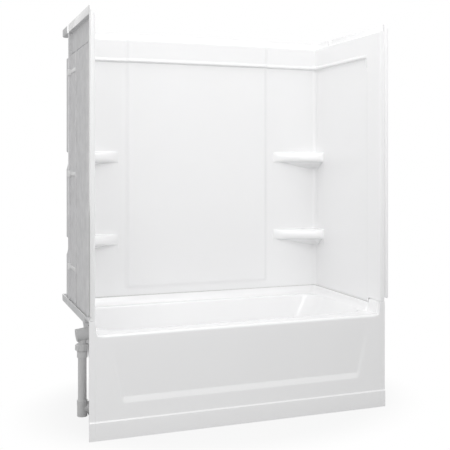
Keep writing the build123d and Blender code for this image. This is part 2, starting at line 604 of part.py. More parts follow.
def right_clip(z):
    """Clip whose head grips both seam lips and whose arm reaches forward to the outer rib."""
    grip = SHELL + CLIP_GAP
    lip_end = LIP_X + CLIP_GAP
    head_y = (SEAM_Y - grip - CLIP_HEAD_WALL, SEAM_Y + grip + CLIP_HEAD_WALL)
    head_z = (z - CLIP_HEAD_HEIGHT / 2, z + CLIP_HEAD_HEIGHT / 2)
    clip = block((SHELL_X, lip_end + CLIP_HEAD_FLOOR), head_y, head_z)
    slot_z = (head_z[0] - CUT, head_z[1] + CUT)
    clip -= block((SHELL_X - CUT, lip_end), (SEAM_Y - grip, SEAM_Y + grip), slot_z)
    arm_y = (SEAM_Y - RIB_FROM_SEAM + CLIP_GAP, SEAM_Y - grip)
    arm_z = (z - CLIP_ARM_HEIGHT / 2, z + CLIP_ARM_HEIGHT / 2)
    return clip + block((SHELL_X, SHELL_X + CLIP_ARM_T), arm_y, arm_z)


# Waste and overflow

def slip_nut(thread_r, hole_r, length):
    """Slip nut with lugs, along +Z: threaded part first, inward lip last."""
    nut = upright(0, 0, NUT_R, (0, length))
    for count in range(NUT_LUGS):
        angle = 2 * pi * count / NUT_LUGS
        nut += upright(NUT_R * cos(angle), NUT_R * sin(angle), NUT_LUG_R, (0, length))
    nut -= upright(0, 0, thread_r + FIT, (-CUT, length - NUT_LIP))
    return nut - upright(0, 0, hole_r + FIT, (-CUT, length + CUT))


def slip_washer(inner_r):
    """Tapered-joint washer that a slip nut presses on the pipe."""
    return upright(0, 0, THREAD_R, (0, WASHER_T)) - upright(0, 0, inner_r + FIT, (-CUT, WASHER_T + CUT))


def overflow_gasket():
    """Rubber ring between the basin's outer face and the overflow elbow."""
    hole = overflow_disc(OVERFLOW_HOLE_R, (-CUT, OVERFLOW_GASKET_T + CUT))
    return overflow_disc(OVERFLOW_FLANGE_R, (0, OVERFLOW_GASKET_T)) - hole


def screw_pair(radius, along):
    """Two discs at the overflow screws' places."""
    discs = [overflow_disc(radius, along, side * SCREW_SPACING / 2) for side in (-1, 1)]
    return discs[0] + discs[1]


def neck_taper(inside):
    """Taper between the elbow's chamber and its neck, inset by a wall."""
    cone = Cone(NECK_R - inside, NECK_TAPER_R - inside, NECK_TAPER_HEIGHT)
    return Pos(PIPE_X, WASTE_Y, NECK_TAPER_FOOT_Z + NECK_TAPER_HEIGHT / 2) * cone


def overflow_elbow():
    """Hollow elbow from the overflow hole down into the coupling."""
    flange_start = OVERFLOW_GASKET_T
    chamber_start = flange_start + OVERFLOW_FLANGE_T
    chamber_end = chamber_start + CHAMBER_LENGTH
    elbow = overflow_disc(OVERFLOW_FLANGE_R, (flange_start, chamber_start))
    elbow += overflow_disc(CHAMBER_R, (chamber_start, chamber_end))
    elbow += neck_taper(0)
    elbow += upright(PIPE_X, WASTE_Y, NECK_R, (NECK_END_Z, NECK_TAPER_TOP_Z))
    elbow -= overflow_disc(OVERFLOW_BORE_R, (flange_start - CUT, chamber_start + CUT))
    elbow -= overflow_disc(CHAMBER_R - CHAMBER_WALL, (chamber_start, chamber_end - CHAMBER_WALL))
    elbow -= neck_taper(NECK_R - NECK_BORE_R)
    elbow -= upright(PIPE_X, WASTE_Y, NECK_BORE_R, (NECK_END_Z - CUT, NECK_TAPER_TOP_Z))
    return elbow - screw_pair(SCREW_R + FIT, (flange_start - CUT, chamber_start + CUT))


def overflow_faceplate():
    """Dished round plate inside the basin, open at its lower edge."""
    plate = overflow_disc(PLATE_R, (PLATE_FRONT, WALL_INNER))
    plate -= overflow_disc(PLATE_R - PLATE_T, (PLATE_FRONT + PLATE_T, WALL_INNER + CUT))
    slot = Box(PLATE_SLOT, PLATE_R, PLATE_STANDOFF)
    plate -= OVERFLOW * Pos(0, PLATE_R, PLATE_FRONT + PLATE_T + PLATE_STANDOFF / 2) * slot
    return plate - screw_pair(SCREW_R + SCREW_GAP, (PLATE_FRONT - CUT, PLATE_FRONT + PLATE_T + CUT))


def overflow_screws():
    """Two screws from the plate's face into the elbow's flange."""
    heads = screw_pair(SCREW_HEAD_R, (PLATE_FRONT - SCREW_HEAD_T, PLATE_FRONT))
    return heads + screw_pair(SCREW_R, (PLATE_FRONT, OVERFLOW_GASKET_T + OVERFLOW_FLANGE_T))


def overflow_coupling():
    """Coupling on top of the overflow tube, screwed for the slip nut."""
    coupling = upright(PIPE_X, WASTE_Y, HUB_R, (COUPLING_FOOT_Z, COUPLING_SHOULDER_Z))
    coupling += upright(PIPE_X, WASTE_Y, THREAD_R, (COUPLING_SHOULDER_Z, COUPLING_TOP_Z))
    coupling -= upright(PIPE_X, WASTE_Y, PIPE_SOCKET_R, (COUPLING_FOOT_Z - CUT, TUBE_TOP_Z))
    coupling -= upright(PIPE_X, WASTE_Y, NECK_R + FIT, (NECK_END_Z - CUT, COUPLING_TOP_Z + CUT))
    return coupling - upright(PIPE_X, WASTE_Y, PIPE_BORE_R, (COUPLING_FOOT_Z, COUPLING_TOP_Z))


def overflow_tube():
    """Straight tube between coupling and tee."""
    bore = upright(PIPE_X, WASTE_Y, PIPE_BORE_R, (TUBE_FOOT_Z - CUT, TUBE_TOP_Z + CUT))
    return upright(PIPE_X, WASTE_Y, PIPE_R, (TUBE_FOOT_Z, TUBE_TOP_Z)) - bore


def waste_tee():
    """Tee under the overflow tube: tube above, waste arm at the side, outlet socket below."""
    tee = upright(PIPE_X, WASTE_Y, BODY_R, (0, TEE_TOP_Z))
    tee += upright(PIPE_X, WASTE_Y, HUB_R, (TEE_TOP_Z - TEE_HUB_HEIGHT, TEE_TOP_Z))
    tee += lying(WASTE_Y, WASTE_AXIS_Z, BODY_R, (PIPE_X, BRANCH_SHOULDER_X))
    tee += lying(WASTE_Y, WASTE_AXIS_Z, THREAD_R, (PIPE_X, BRANCH_END_X))
    tee -= upright(PIPE_X, WASTE_Y, PIPE_BORE_R, (-CUT, TEE_TOP_Z + CUT))
    tee -= upright(PIPE_X, WASTE_Y, PIPE_SOCKET_R, (-CUT, SOCKET_DEPTH))
    tee -= upright(PIPE_X, WASTE_Y, PIPE_SOCKET_R, (TUBE_FOOT_Z, TEE_TOP_Z + CUT))
    tee -= lying(WASTE_Y, WASTE_AXIS_Z, PIPE_BORE_R, (PIPE_X, BRANCH_END_X + CUT))
    return tee - lying(WASTE_Y, WASTE_AXIS_Z, PIPE_SOCKET_R, (ARM_START_X, BRANCH_END_X + CUT))


def waste_arm():
    """Straight tube between tee and drain shoe."""
    bore = lying(WASTE_Y, WASTE_AXIS_Z, PIPE_BORE_R, (ARM_START_X - CUT, ARM_END_X + CUT))
    return lying(WASTE_Y, WASTE_AXIS_Z, PIPE_R, (ARM_START_X, ARM_END_X)) - bore


def waste_shoe():
    """Elbow under the drain: flange and screwed bore above, arm socket at the side."""
    mouth_x = DRAIN_X - SHOE_BRANCH
    shoe = upright(DRAIN_X, WASTE_Y, SHOE_FLANGE_R, (SHOE_TOP_Z - SHOE_FLANGE_T, SHOE_TOP_Z))
    shoe += upright(DRAIN_X, WASTE_Y, BODY_R, (WASTE_AXIS_Z, SHOE_TOP_Z))
    shoe += upright(DRAIN_X, WASTE_Y, SHOE_BODY_R, (BARREL_FOOT_Z - SHOE_WALL, SHOE_TOP_Z))
    shoe += lying(WASTE_Y, WASTE_AXIS_Z, BODY_R, (mouth_x, DRAIN_X))
    shoe += Pos(DRAIN_X, WASTE_Y, WASTE_AXIS_Z) * Sphere(BODY_R)
    shoe -= upright(DRAIN_X, WASTE_Y, SHOE_BORE_R, (BARREL_FOOT_Z - CUT, SHOE_TOP_Z + CUT))
    shoe -= upright(DRAIN_X, WASTE_Y, PIPE_BORE_R, (WASTE_AXIS_Z, SHOE_TOP_Z + CUT))
    shoe -= lying(WASTE_Y, WASTE_AXIS_Z, PIPE_BORE_R, (mouth_x - CUT, DRAIN_X))
    shoe -= Pos(DRAIN_X, WASTE_Y, WASTE_AXIS_Z) * Sphere(PIPE_BORE_R)
    return shoe - lying(WASTE_Y, WASTE_AXIS_Z, PIPE_SOCKET_R, (mouth_x - CUT, ARM_END_X))


def shoe_gasket():
    """Rubber ring between the basin floor and the shoe."""
    z = (SHOE_TOP_Z, FLOOR_Z - SHELL)
    hole = upright(DRAIN_X, WASTE_Y, DRAIN_HOLE_R, (z[0] - CUT, z[1] + CUT))
    return upright(DRAIN_X, WASTE_Y, SHOE_FLANGE_R, z) - hole


def drain_flange():
    """Drain body screwed down into the shoe, with crossbars and a hub for the stopper's post."""
    drain = upright(DRAIN_X, WASTE_Y, DRAIN_FLANGE_R, (FLOOR_Z, SEAT_Z))
    drain = fillet(drain.edges().group_by(Axis.Z)[-1], DRAIN_FLANGE_EDGE_R)
    drain += upright(DRAIN_X, WASTE_Y, BARREL_R, (BARREL_FOOT_Z, FLOOR_Z))
    drain -= upright(DRAIN_X, WASTE_Y, BARREL_BORE_R, (BARREL_FOOT_Z - CUT, SEAT_Z + CUT))
    reach = BARREL_BORE_R + BARREL_WALL / 2
    half = CROSSBAR_T / 2
    bar_z = (BARREL_FOOT_Z, BARREL_FOOT_Z + CROSSBAR_T)
    drain += block((DRAIN_X - reach, DRAIN_X + reach), (WASTE_Y - half, WASTE_Y + half), bar_z)
    drain += block((DRAIN_X - half, DRAIN_X + half), (WASTE_Y - reach, WASTE_Y + reach), bar_z)
    drain += upright(DRAIN_X, WASTE_Y, CROSSBAR_HUB_R, (BARREL_FOOT_Z, HUB_TOP_Z))
    return drain - upright(DRAIN_X, WASTE_Y, POST_STUD_R + FIT, (BARREL_FOOT_Z - CUT, HUB_TOP_Z + CUT))


def stopper_post():
    """Fixed post screwed into the crossbars' hub, which guides the stopper."""
    post = upright(DRAIN_X, WASTE_Y, POST_R, (HUB_TOP_Z, POST_TOP_Z))
    return post + upright(DRAIN_X, WASTE_Y, POST_STUD_R, (BARREL_FOOT_Z, HUB_TOP_Z))


def stopper_stem():
    """Hollow stem that slides on the post, with a stud that the cap screws on."""
    stem = upright(DRAIN_X, WASTE_Y, STEM_R, (CAP_Z - STEM_LENGTH, CAP_Z))
    stem += upright(DRAIN_X, WASTE_Y, STEM_STUD_R, (CAP_Z, CAP_Z + STEM_STUD_LENGTH))
    bore_z = (CAP_Z - STEM_LENGTH - CUT, POST_TOP_Z + STEM_END_GAP)
    return stem - upright(DRAIN_X, WASTE_Y, STEM_BORE_R, bore_z)


def stopper_cap():
    """Domed cap of the stopper."""
    rim = upright(DRAIN_X, WASTE_Y, CAP_R, (CAP_Z, CAP_Z + CAP_EDGE))
    ball_r = (CAP_R ** 2 + CAP_DOME ** 2) / (2 * CAP_DOME)
    ball = Pos(DRAIN_X, WASTE_Y, CAP_Z + CAP_EDGE + CAP_DOME - ball_r) * Sphere(ball_r)
    dome = ball & upright(DRAIN_X, WASTE_Y, CAP_R, (CAP_Z + CAP_EDGE, CAP_Z + CAP_EDGE + CAP_DOME))
    stud_hole = upright(DRAIN_X, WASTE_Y, STEM_STUD_R + FIT, (CAP_Z - CUT, CAP_Z + STEM_STUD_LENGTH))
    return rim + dome - stud_hole


def stopper_seal():
    """Rubber disc under the cap, which closes on the drain's flange."""
    seal = upright(DRAIN_X, WASTE_Y, STOPPER_SEAL_R, (SEAT_Z, CAP_Z))
    return seal - upright(DRAIN_X, WASTE_Y, STEM_R + FIT, (SEAT_Z - CUT, CAP_Z + CUT))


def branch_place(distance):
    """Place along the waste arm, with +Z turned towards +X."""
    return Pos(BRANCH_END_X + distance, WASTE_Y, WASTE_AXIS_Z) * Rot(0, 90, 0)


def all_parts():
    """Every node of the unit, by name."""
    right_wall = right_end_wall()
    seal = right_wall_seal()
    parts = {
        "bathtub": bathtub(),
        "levelling_pad": levelling_pad(),
        "back_wall": back_wall(),
        "left_end_wall": mirror(right_wall, about=Plane.YZ),
        "right_end_wall": right_wall,
        "back_wall_seal": back_wall_seal(),
        "left_wall_seal": mirror(seal, about=Plane.YZ),
        "right_wall_seal": seal,
        "overflow_faceplate": overflow_faceplate(),
        "overflow_screws": overflow_screws(),
        "overflow_gasket": overflow_gasket(),
        "overflow_elbow": overflow_elbow(),
        "overflow_coupling": overflow_coupling(),
        "overflow_tube": overflow_tube(),
        "waste_tee": waste_tee(),
        "waste_arm": waste_arm(),
        "waste_shoe": waste_shoe(),
        "shoe_gasket": shoe_gasket(),
        "drain_flange": drain_flange(),
        "stopper_post": stopper_post(),
        "stopper_stem": stopper_stem(),
        "stopper_cap": stopper_cap(),
        "stopper_seal": stopper_seal(),
    }
    upper_nut_z = COUPLING_TOP_Z + WASHER_T + NUT_LIP - UPPER_NUT_LENGTH
    upper_nut = slip_nut(THREAD_R, NECK_R, UPPER_NUT_LENGTH)
    parts["overflow_slip_nut"] = Pos(PIPE_X, WASTE_Y, upper_nut_z) * upper_nut
    parts["overflow_slip_washer"] = Pos(PIPE_X, WASTE_Y, COUPLING_TOP_Z) * slip_washer(NECK_R)
    arm_nut = slip_nut(THREAD_R, PIPE_R, ARM_NUT_LENGTH)
    parts["arm_slip_nut"] = branch_place(WASHER_T + NUT_LIP - ARM_NUT_LENGTH) * arm_nut
    parts["arm_slip_washer"] = branch_place(0) * slip_washer(PIPE_R)
    for level, z in CLIP_Z.items():
        clip = right_clip(z)
        parts[f"right_clip_{level}"] = clip
        parts[f"left_clip_{level}"] = mirror(clip, about=Plane.YZ)
    return parts


for name, part in all_parts().items():
    export_step(part, f"parts/{name}.step")
    print(name, len(part.solids()), "solids", round(part.volume / 1000, 1), "cm3")
print("lean of the overflow wall", round(degrees(LEFT_LEAN), 2), "degrees")
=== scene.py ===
# %% [markdown]
# Tub and shower unit for an alcove.
# The object is four large white mouldings: a bathtub with its apron, a back wall with four corner
# shelves, and two end walls. Behind them are foam seals, clips, and the waste and overflow pipes.
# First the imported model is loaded. It is the frame that every piece here fits.

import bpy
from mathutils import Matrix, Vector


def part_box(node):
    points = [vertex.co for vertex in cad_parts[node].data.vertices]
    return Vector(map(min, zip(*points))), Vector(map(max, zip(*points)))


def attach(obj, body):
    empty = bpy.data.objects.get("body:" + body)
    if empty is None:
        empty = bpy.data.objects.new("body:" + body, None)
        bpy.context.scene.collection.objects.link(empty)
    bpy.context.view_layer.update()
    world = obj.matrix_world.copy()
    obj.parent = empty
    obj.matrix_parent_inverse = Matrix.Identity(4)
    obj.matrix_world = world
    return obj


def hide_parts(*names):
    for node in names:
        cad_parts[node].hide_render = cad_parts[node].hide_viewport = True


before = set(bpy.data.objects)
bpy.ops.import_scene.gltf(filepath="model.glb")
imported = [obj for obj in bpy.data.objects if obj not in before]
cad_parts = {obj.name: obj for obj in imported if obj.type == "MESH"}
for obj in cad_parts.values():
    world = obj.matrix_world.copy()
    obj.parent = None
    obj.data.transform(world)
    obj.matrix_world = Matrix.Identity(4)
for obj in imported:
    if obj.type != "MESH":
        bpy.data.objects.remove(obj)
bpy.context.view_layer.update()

# %% [markdown]
# The numbers below are millimetres, as on a maker's drawing, because that reads better than 0.005.
# A mesh gets them through one factor. Outer sizes come from the frame, so they can't drift from it.

# %% Shared sizes
from math import cos, pi, radians, sin

import bmesh
import bpy
import numpy as np
from mathutils import Matrix, Vector

MM = 0.001
SHELL = 5.0                     # thickness of every moulding
TOE_REACH = 5.0                 # toe band, forward of the apron face
FLANGE_T = 5.0
tub_low, tub_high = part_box("bathtub")
wall_low, wall_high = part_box("right_end_wall")
STUD_X = tub_high.x / MM
STUD_Y = tub_high.y / MM
APRON_Y = tub_low.y / MM + TOE_REACH
HEIGHT = wall_high.z / MM
PILASTER_X = wall_low.x / MM + 5.0      # the bead stands 5 proud of the pilaster's face
FLANGE_X = STUD_X - FLANGE_T            # inner face of the nailing flanges
PANEL_X = PILASTER_X + 8.0
BACK_Y = STUD_Y - 27.0
RIM_Z = 472.0
LEDGE_Z = 514.0
WALL_FOOT_Z = 518.0
SEAM_Y = 223.5
BAND_Z = HEIGHT - 159.0
TOP_LEDGE_Z = HEIGHT - 35.0
print("apron", round(APRON_Y, 2), "pilaster", round(PILASTER_X, 2), "band", round(BAND_Z, 2))

# %% [markdown]
# A moulding is one sheet of constant thickness. So each is built as patches of a grid that follow
# its finished face, and the patches are welded where they meet. Then the back of the sheet is grown
# away from the bather. That is how the real sheet is made too: the mould gives the face, and the
# back follows it. A Solidify modifier does the same, but where the sheet folds tightly, as at the
# ends of a shelf, its even thickness throws points far away. So the back is written out here, with
# a limit on how far a point may move.

# %% Sheets and patches
class Sheet:
    """Patches of one moulded face, in millimetres, before they are welded."""

    def __init__(self):
        self.points = []
        self.faces = []

    def patch(self, grid):
        """Adds a grid of points, rows by columns, with a face in every cell."""
        rows, columns = grid.shape[:2]
        start = len(self.points)
        self.points.extend(grid.reshape(-1, 3).tolist())
        for row in range(rows - 1):
            for column in range(columns - 1):
                corner = start + row * columns + column
                self.faces.append((corner, corner + 1, corner + columns + 1, corner + columns))

    def mesh(self, name):
        """The patches as one mesh in metres."""
        mesh = bpy.data.meshes.new(name)
        mesh.from_pydata([Vector(point) * MM for point in self.points], [], self.faces)
        return mesh


WELD = 0.03                     # points nearer than this become one


def weld(mesh):
    """Joins doubled points, drops faces with no area and makes all faces look the same way."""
    shape = bmesh.new()
    shape.from_mesh(mesh)
    bmesh.ops.remove_doubles(shape, verts=shape.verts, dist=WELD * MM)
    bmesh.ops.dissolve_degenerate(shape, edges=shape.edges, dist=WELD * MM)
    bmesh.ops.recalc_face_normals(shape, faces=shape.faces)
    shape.to_mesh(mesh)
    shape.free()


def face_towards(mesh, eye):
    """Turns a welded open sheet so that most of its area looks at a point in millimetres."""
    eye = Vector(eye) * MM
    seen = sum(face.area * face.normal.dot((eye - face.center).normalized()) for face in mesh.polygons)
    if seen < 0:
        mesh.flip_normals()


def new_object(name, mesh):
    """An object at the origin that shows a mesh."""
    piece = bpy.data.objects.new(name, mesh)
    bpy.context.scene.collection.objects.link(piece)
    return piece


def apply_modifiers(piece):
    """Turns a piece's modifiers into its mesh."""
    bpy.context.view_layer.update()
    shown = piece.evaluated_get(bpy.context.evaluated_depsgraph_get())
    mesh = bpy.data.meshes.new_from_object(shown)
    piece.modifiers.clear()
    piece.data = mesh
    mesh.name = piece.name
    return piece


def add_blocks(piece, blocks):
    """Joins closed blocks, given as limits in millimetres on X, Y and Z, to a piece's mesh."""
    shape = bmesh.new()
    shape.from_mesh(piece.data)
    for x, y, z in blocks:
        size = Vector((x[1] - x[0], y[1] - y[0], z[1] - z[0])) * MM
        middle = Vector((x[0] + x[1], y[0] + y[1], z[0] + z[1])) * MM / 2
        place = Matrix.Translation(middle) @ Matrix.Diagonal((*size, 1))
        bmesh.ops.create_cube(shape, size=1, matrix=place)
    shape.to_mesh(piece.data)
    shape.free()


SHARP = radians(38)             # a fold steeper than this keeps its edge in the shading


MOST_STRETCH = 1.5              # limit on how far a back point moves out where the face folds


def within_studs(point):
    """The nearest place that is still inside the alcove."""
    x = min(max(point.x, -STUD_X * MM), STUD_X * MM)
    return Vector((x, min(point.y, STUD_Y * MM), point.z))


def thicken(piece, thickness=SHELL):
    """Grows the back of a moulded sheet and closes its edges. The back gets the second material slot."""
    shape = bmesh.new()
    shape.from_mesh(piece.data)
    shape.normal_update()
    front = shape.faces[:]
    rim = [edge.link_loops[0] for edge in shape.edges if edge.is_boundary]
    rim = [(loop.vert, loop.link_loop_next.vert) for loop in rim]
    places = [(vert, vert.normal * min(vert.calc_shell_factor(), MOST_STRETCH)) for vert in shape.verts]
    backs = {vert: shape.verts.new(within_studs(vert.co - outward * thickness * MM)) for vert, outward in places}
    for face in front:
        back = shape.faces.new([backs[vert] for vert in reversed(face.verts)])
        back.material_index = 1
    for first, second in rim:
        shape.faces.new((second, first, backs[first], backs[second]))
    shape.to_mesh(piece.data)
    shape.free()
    return piece


def soften(piece, width=0.9):
    """Rounds the sharp edges a little, as every moulded or machined edge is, and shades smoothly."""
    edges = piece.modifiers.new("edges", "BEVEL")
    edges.width = width * MM
    edges.segments = 2
    edges.limit_method = "ANGLE"
    edges.angle_limit = SHARP
    edges.harden_normals = False
    apply_modifiers(piece)
    return smooth(piece)


def smooth(piece, sharp=SHARP):
    """Smooth shading, with an edge kept where the surface folds."""
    for face in piece.data.polygons:
        face.use_smooth = True
    piece.data.set_sharp_from_angle(angle=sharp)
    return piece


def report(piece):
    """Prints how many triangles a piece has."""
    piece.data.calc_loop_triangles()
    print(piece.name, len(piece.data.loop_triangles), "triangles")


# %% [markdown]
# Every step and bevel on a moulding is soft. Two small functions describe them all: `hinge` is a
# bend from flat to rising, and `ramp` is a step from 0 to 1 with both of its corners rounded.
# A feature is then a height added to the face, such as a raised panel or a pressed scoop.

# %% Soft steps
def hinge(t, soft):
    """0 far below zero and t far above it, with a rounded bend between."""
    return 0.5 * (t + np.sqrt(t * t + soft * soft))


def ramp(t, soft=0.15):
    """0 below 0 and 1 above 1, straight between, with rounded corners."""
    return hinge(t, soft) - hinge(t - 1, soft)


def spread(*stops):
    """Places along a line: each stop is (place, steps to the next one)."""
    places = []
    for (start, steps), (end, _) in zip(stops, stops[1:]):
        places.extend(np.linspace(start, end, steps, endpoint=False))
    return np.array([*places, stops[-1][0]], float)


def quarter(steps):
    """Angles from 0 to 90 degrees."""
    return np.linspace(0, pi / 2, steps + 1)


# %% [markdown]
# The bathtub comes first, because the walls stand on it. Its face is a set of rings. The innermost
# is the drain hole, then come the floor, the cove, the leaning walls, the rounded mouth and the
# rim. All rings share their columns. A column is a direction from the middle of the ring's own
# box, so corners run into corners and the grid never twists.

# %% Bathtub: sizes
CURB_RUN = 45.0                 # hollow curb between the wall face and the rim
CURB_HOLLOW = 3.0               # power of the curb's rise: flat at its foot, steep under the walls
EAR_CURB_RUN = 7.0              # the same curb between the ears, where the rim runs out to the walls
CURB_CORNER_R = 85.0
WALL_CORNER_R = 25.0
RIM_R = 12.0                    # rounding of the rim's front edge
END_R = 2.5                     # the same at the two ends
EAR_Z = 538.0
EAR_BACK_Y = APRON_Y + 118.0
TUB_FLANGE_Z = 543.0
FLOOR_Z = 100.0
OPENING = (-PILASTER_X + 44.0, PILASTER_X - 26.0, APRON_Y + 92.0, BACK_Y - 57.0)
FLOOR = (OPENING[0] + 52.0, OPENING[1] - 238.0, OPENING[2] + 73.0, OPENING[3] - 95.0)
MOUTH_CORNER_R = 120.0
FLOOR_CORNER_R = 90.0
COVE_R = 50.0
MOUTH_EDGE_R = 13.0
drain_low, drain_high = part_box("drain_flange")
DRAIN = ((drain_low.x + drain_high.x) / 2 / MM, (drain_low.y + drain_high.y) / 2 / MM)
DRAIN_HOLE_R = 22.3
print("opening", [round(side, 1) for side in OPENING], "drain", [round(place, 1) for place in DRAIN])

# %% Bathtub: height of the rim, the curb, the ledge and the ears
def outside_of(x, y, half_x, back, radius):
    """Distance outside a room with rounded rear corners and an open front."""
    over_x = np.abs(x) - (half_x - radius)
    over_y = y - (back - radius)
    corner = np.hypot(np.maximum(over_x, 0), np.maximum(over_y, 0))
    return corner + np.minimum(np.maximum(over_x, over_y), 0) - radius


EAR_SLOPE = 10.0                # run of each ear's inner face, which leans back a little
EAR_END_SLOPE = 5.0


def curb_run(y):
    """Width of the curb: full behind the ears, and a small rounding between them."""
    return EAR_CURB_RUN + (CURB_RUN - EAR_CURB_RUN) * ramp((y - EAR_BACK_Y + 5) / 5)


def deck(x, y):
    """Height of the tub's upper face, without the basin."""
    run = curb_run(y)
    past_foot = np.maximum(outside_of(x, y, PILASTER_X - run, BACK_Y - run, CURB_CORNER_R), 0)
    before_top = np.maximum(-outside_of(x, y, PILASTER_X, BACK_Y, WALL_CORNER_R), 0)
    rise = past_foot / np.maximum(past_foot + before_top, 0.001)
    between_ears = ramp((EAR_BACK_Y - y) / EAR_END_SLOPE, 0.3)
    height = RIM_Z + (LEDGE_Z - RIM_Z) * rise ** CURB_HOLLOW
    across = ramp((np.abs(x) - PILASTER_X + EAR_SLOPE - 2) / EAR_SLOPE, 0.2)
    return height + (EAR_Z - LEDGE_Z) * across * between_ears


def front_radius(x):
    """Rounding between rim and apron: full along the rim, small under the ears."""
    return END_R + (RIM_R - END_R) * (1 - ramp((np.abs(x) - PILASTER_X + 36) / 36))


# %% Bathtub: columns
half_front = spread((0, 9), (560, 8), (600, 18), (684, 12), (718, 14), (737, 3), (743, 2))
front_x = np.array([*-half_front[:0:-1], *half_front])
side_y = spread((APRON_Y + 6, 36), (EAR_BACK_Y - 6, 6), (EAR_BACK_Y + 6, 22), (STUD_Y - 25, 4))
back_x = spread((-740, 6), (-690, 34), (690, 6), (740, 1))
rear_y = STUD_Y - FLANGE_T


def outer_ring():
    """Columns on the outer edge: front from left to right, then the right side, back and left side."""
    front = [(x, APRON_Y + front_radius(x)) for x in (-FLANGE_X, *front_x, FLANGE_X)]
    right = [(FLANGE_X, y) for y in side_y]
    back = [(x, rear_y) for x in (FLANGE_X, *back_x[::-1], -FLANGE_X)]
    left = [(-FLANGE_X, y) for y in side_y[::-1]]
    return np.array([*front, *right, *back, *left, front[0]]), len(front)


rim_edge, front_count = outer_ring()
column_edge = rim_edge.copy()
column_edge[:front_count, 1] = APRON_Y
column_edge[-1, 1] = APRON_Y
middle_y = (APRON_Y + rear_y) / 2
directions = (column_edge - [0, middle_y]) / [FLANGE_X, rear_y - middle_y]
directions /= np.abs(directions).max(axis=1)[:, None]
print("columns", len(rim_edge), "of which", front_count, "along the front")


def ring(limits, radius):
    """Where each column crosses a rounded rectangle. Halving finds it to a hair."""
    middle = np.array([(limits[0] + limits[1]) / 2, (limits[2] + limits[3]) / 2])
    half = np.array([(limits[1] - limits[0]) / 2, (limits[3] - limits[2]) / 2])
    low = np.zeros(len(directions))
    high = np.ones(len(directions)) * 1.01
    for _ in range(40):
        share = (low + high) / 2
        over = np.abs(directions * half * share[:, None]) - (half - radius)
        corner = np.hypot(*np.maximum(over, 0).T)
        outside = corner + np.minimum(over.max(axis=1), 0) - radius > 0
        high = np.where(outside, share, high)
        low = np.where(outside, low, share)
    return middle + directions * half * low[:, None]


# %% Bathtub: rings from the drain to the rim
def bend(start, corner, end, steps):
    """Rows of points that turn from start to end, pulled towards a corner."""
    rows = []
    for t in np.linspace(0, 1, steps + 1):
        rows.append((1 - t) ** 2 * start + 2 * t * (1 - t) * corner + t ** 2 * end)
    return rows


def between(start, end, steps):
    """Rows of points from start to end, without the two ends."""
    return [start + (end - start) * share for share in np.linspace(0, 1, steps + 1)[1:-1]]


def raised(flat, height):
    """Points in plan with a height."""
    return np.column_stack([flat, np.broadcast_to(height, len(flat))])


def basin_rows():
    """Rings of the basin, from the drain hole up to the rim."""
    foot = raised(ring(FLOOR, FLOOR_CORNER_R), FLOOR_Z)
    mouth_flat = ring(OPENING, MOUTH_CORNER_R)
    mouth = raised(mouth_flat, deck(*mouth_flat.T))
    lean = mouth - foot
    out = lean.copy()
    out[:, 2] = 0
    run = np.linalg.norm(out, axis=1, keepdims=True)
    out /= run
    half_turn = (pi / 2 - np.arctan2(run, lean[:, 2:])) / 2
    up = lean / np.linalg.norm(lean, axis=1, keepdims=True)
    cove_start = foot - out * COVE_R * np.tan(half_turn)
    cove_end = foot + up * COVE_R * np.tan(half_turn)
    away = cove_start - [*DRAIN, FLOOR_Z]
    away /= np.linalg.norm(away, axis=1, keepdims=True)
    hole = np.array([*DRAIN, FLOOR_Z]) + away * DRAIN_HOLE_R
    beside = np.array([*DRAIN, FLOOR_Z]) + away * (DRAIN_HOLE_R + 14)
    edge_start = mouth - up * MOUTH_EDGE_R * np.tan(half_turn)
    edge_flat = mouth_flat + (out * MOUTH_EDGE_R * np.tan(half_turn))[:, :2]
    edge_end = raised(edge_flat, deck(*edge_flat.T))
    rows = [hole, beside, *between(beside, cove_start, 6)]
    rows += [*bend(cove_start, foot, cove_end, 9), *between(cove_end, edge_start, 14)]
    rows += bend(edge_start, mouth, edge_end, 7)
    for share in [*np.linspace(0, 0.7, 17)[1:], *np.linspace(0.7, 1, 33)[1:]]:
        flat = edge_flat + (rim_edge - edge_flat) * share
        rows.append(raised(flat, deck(*flat.T)))
    return np.array(rows)


tub_sheet = Sheet()
basin = basin_rows()
tub_sheet.patch(basin)
rim_row = basin[-1]
print("basin rings", len(basin))

# %% [markdown]
# The tub's own nailing flange stands up along its outer edge, behind the walls. It is the last
# ring again, raised to one height, except under the front corners.

# %% Bathtub: nailing flange
def flange_rows():
    """The rim's outer edge and the same points at the top of the flange."""
    edge = rim_row[front_count:]
    top = edge.copy()
    top[:, 2] = TUB_FLANGE_Z
    near_front = edge[:, 1] < APRON_Y + FLANGE_T
    top[near_front, 2] = edge[near_front, 2] + 0.5
    return np.array([edge, top])


tub_sheet.patch(flange_rows())

# %% [markdown]
# The apron hangs from the rim's front edge. A shallow scoop is pressed into it, deepest near its
# foot and fading out towards the rim, and a toe band stands a little proud along the floor.
# All of them are heights on one grid whose rows lie close together where the face changes.

# %% Bathtub: apron
TOE_TOP_Z = 85.0
SCOOP_TOP_Z = 430.0
SCOOP_DEEP_Z = 186.0
SCOOP_FOOT_Z = 158.0
SCOOP_DEPTH = 7.0
SCOOP_SIDE_TOP = STUD_X - 91.0
SCOOP_SIDE_FOOT = STUD_X - 154.0
SCOOP_BEVEL = 12.0
END_BAND_STEP = 0.8             # the two ends of the apron lie this far back


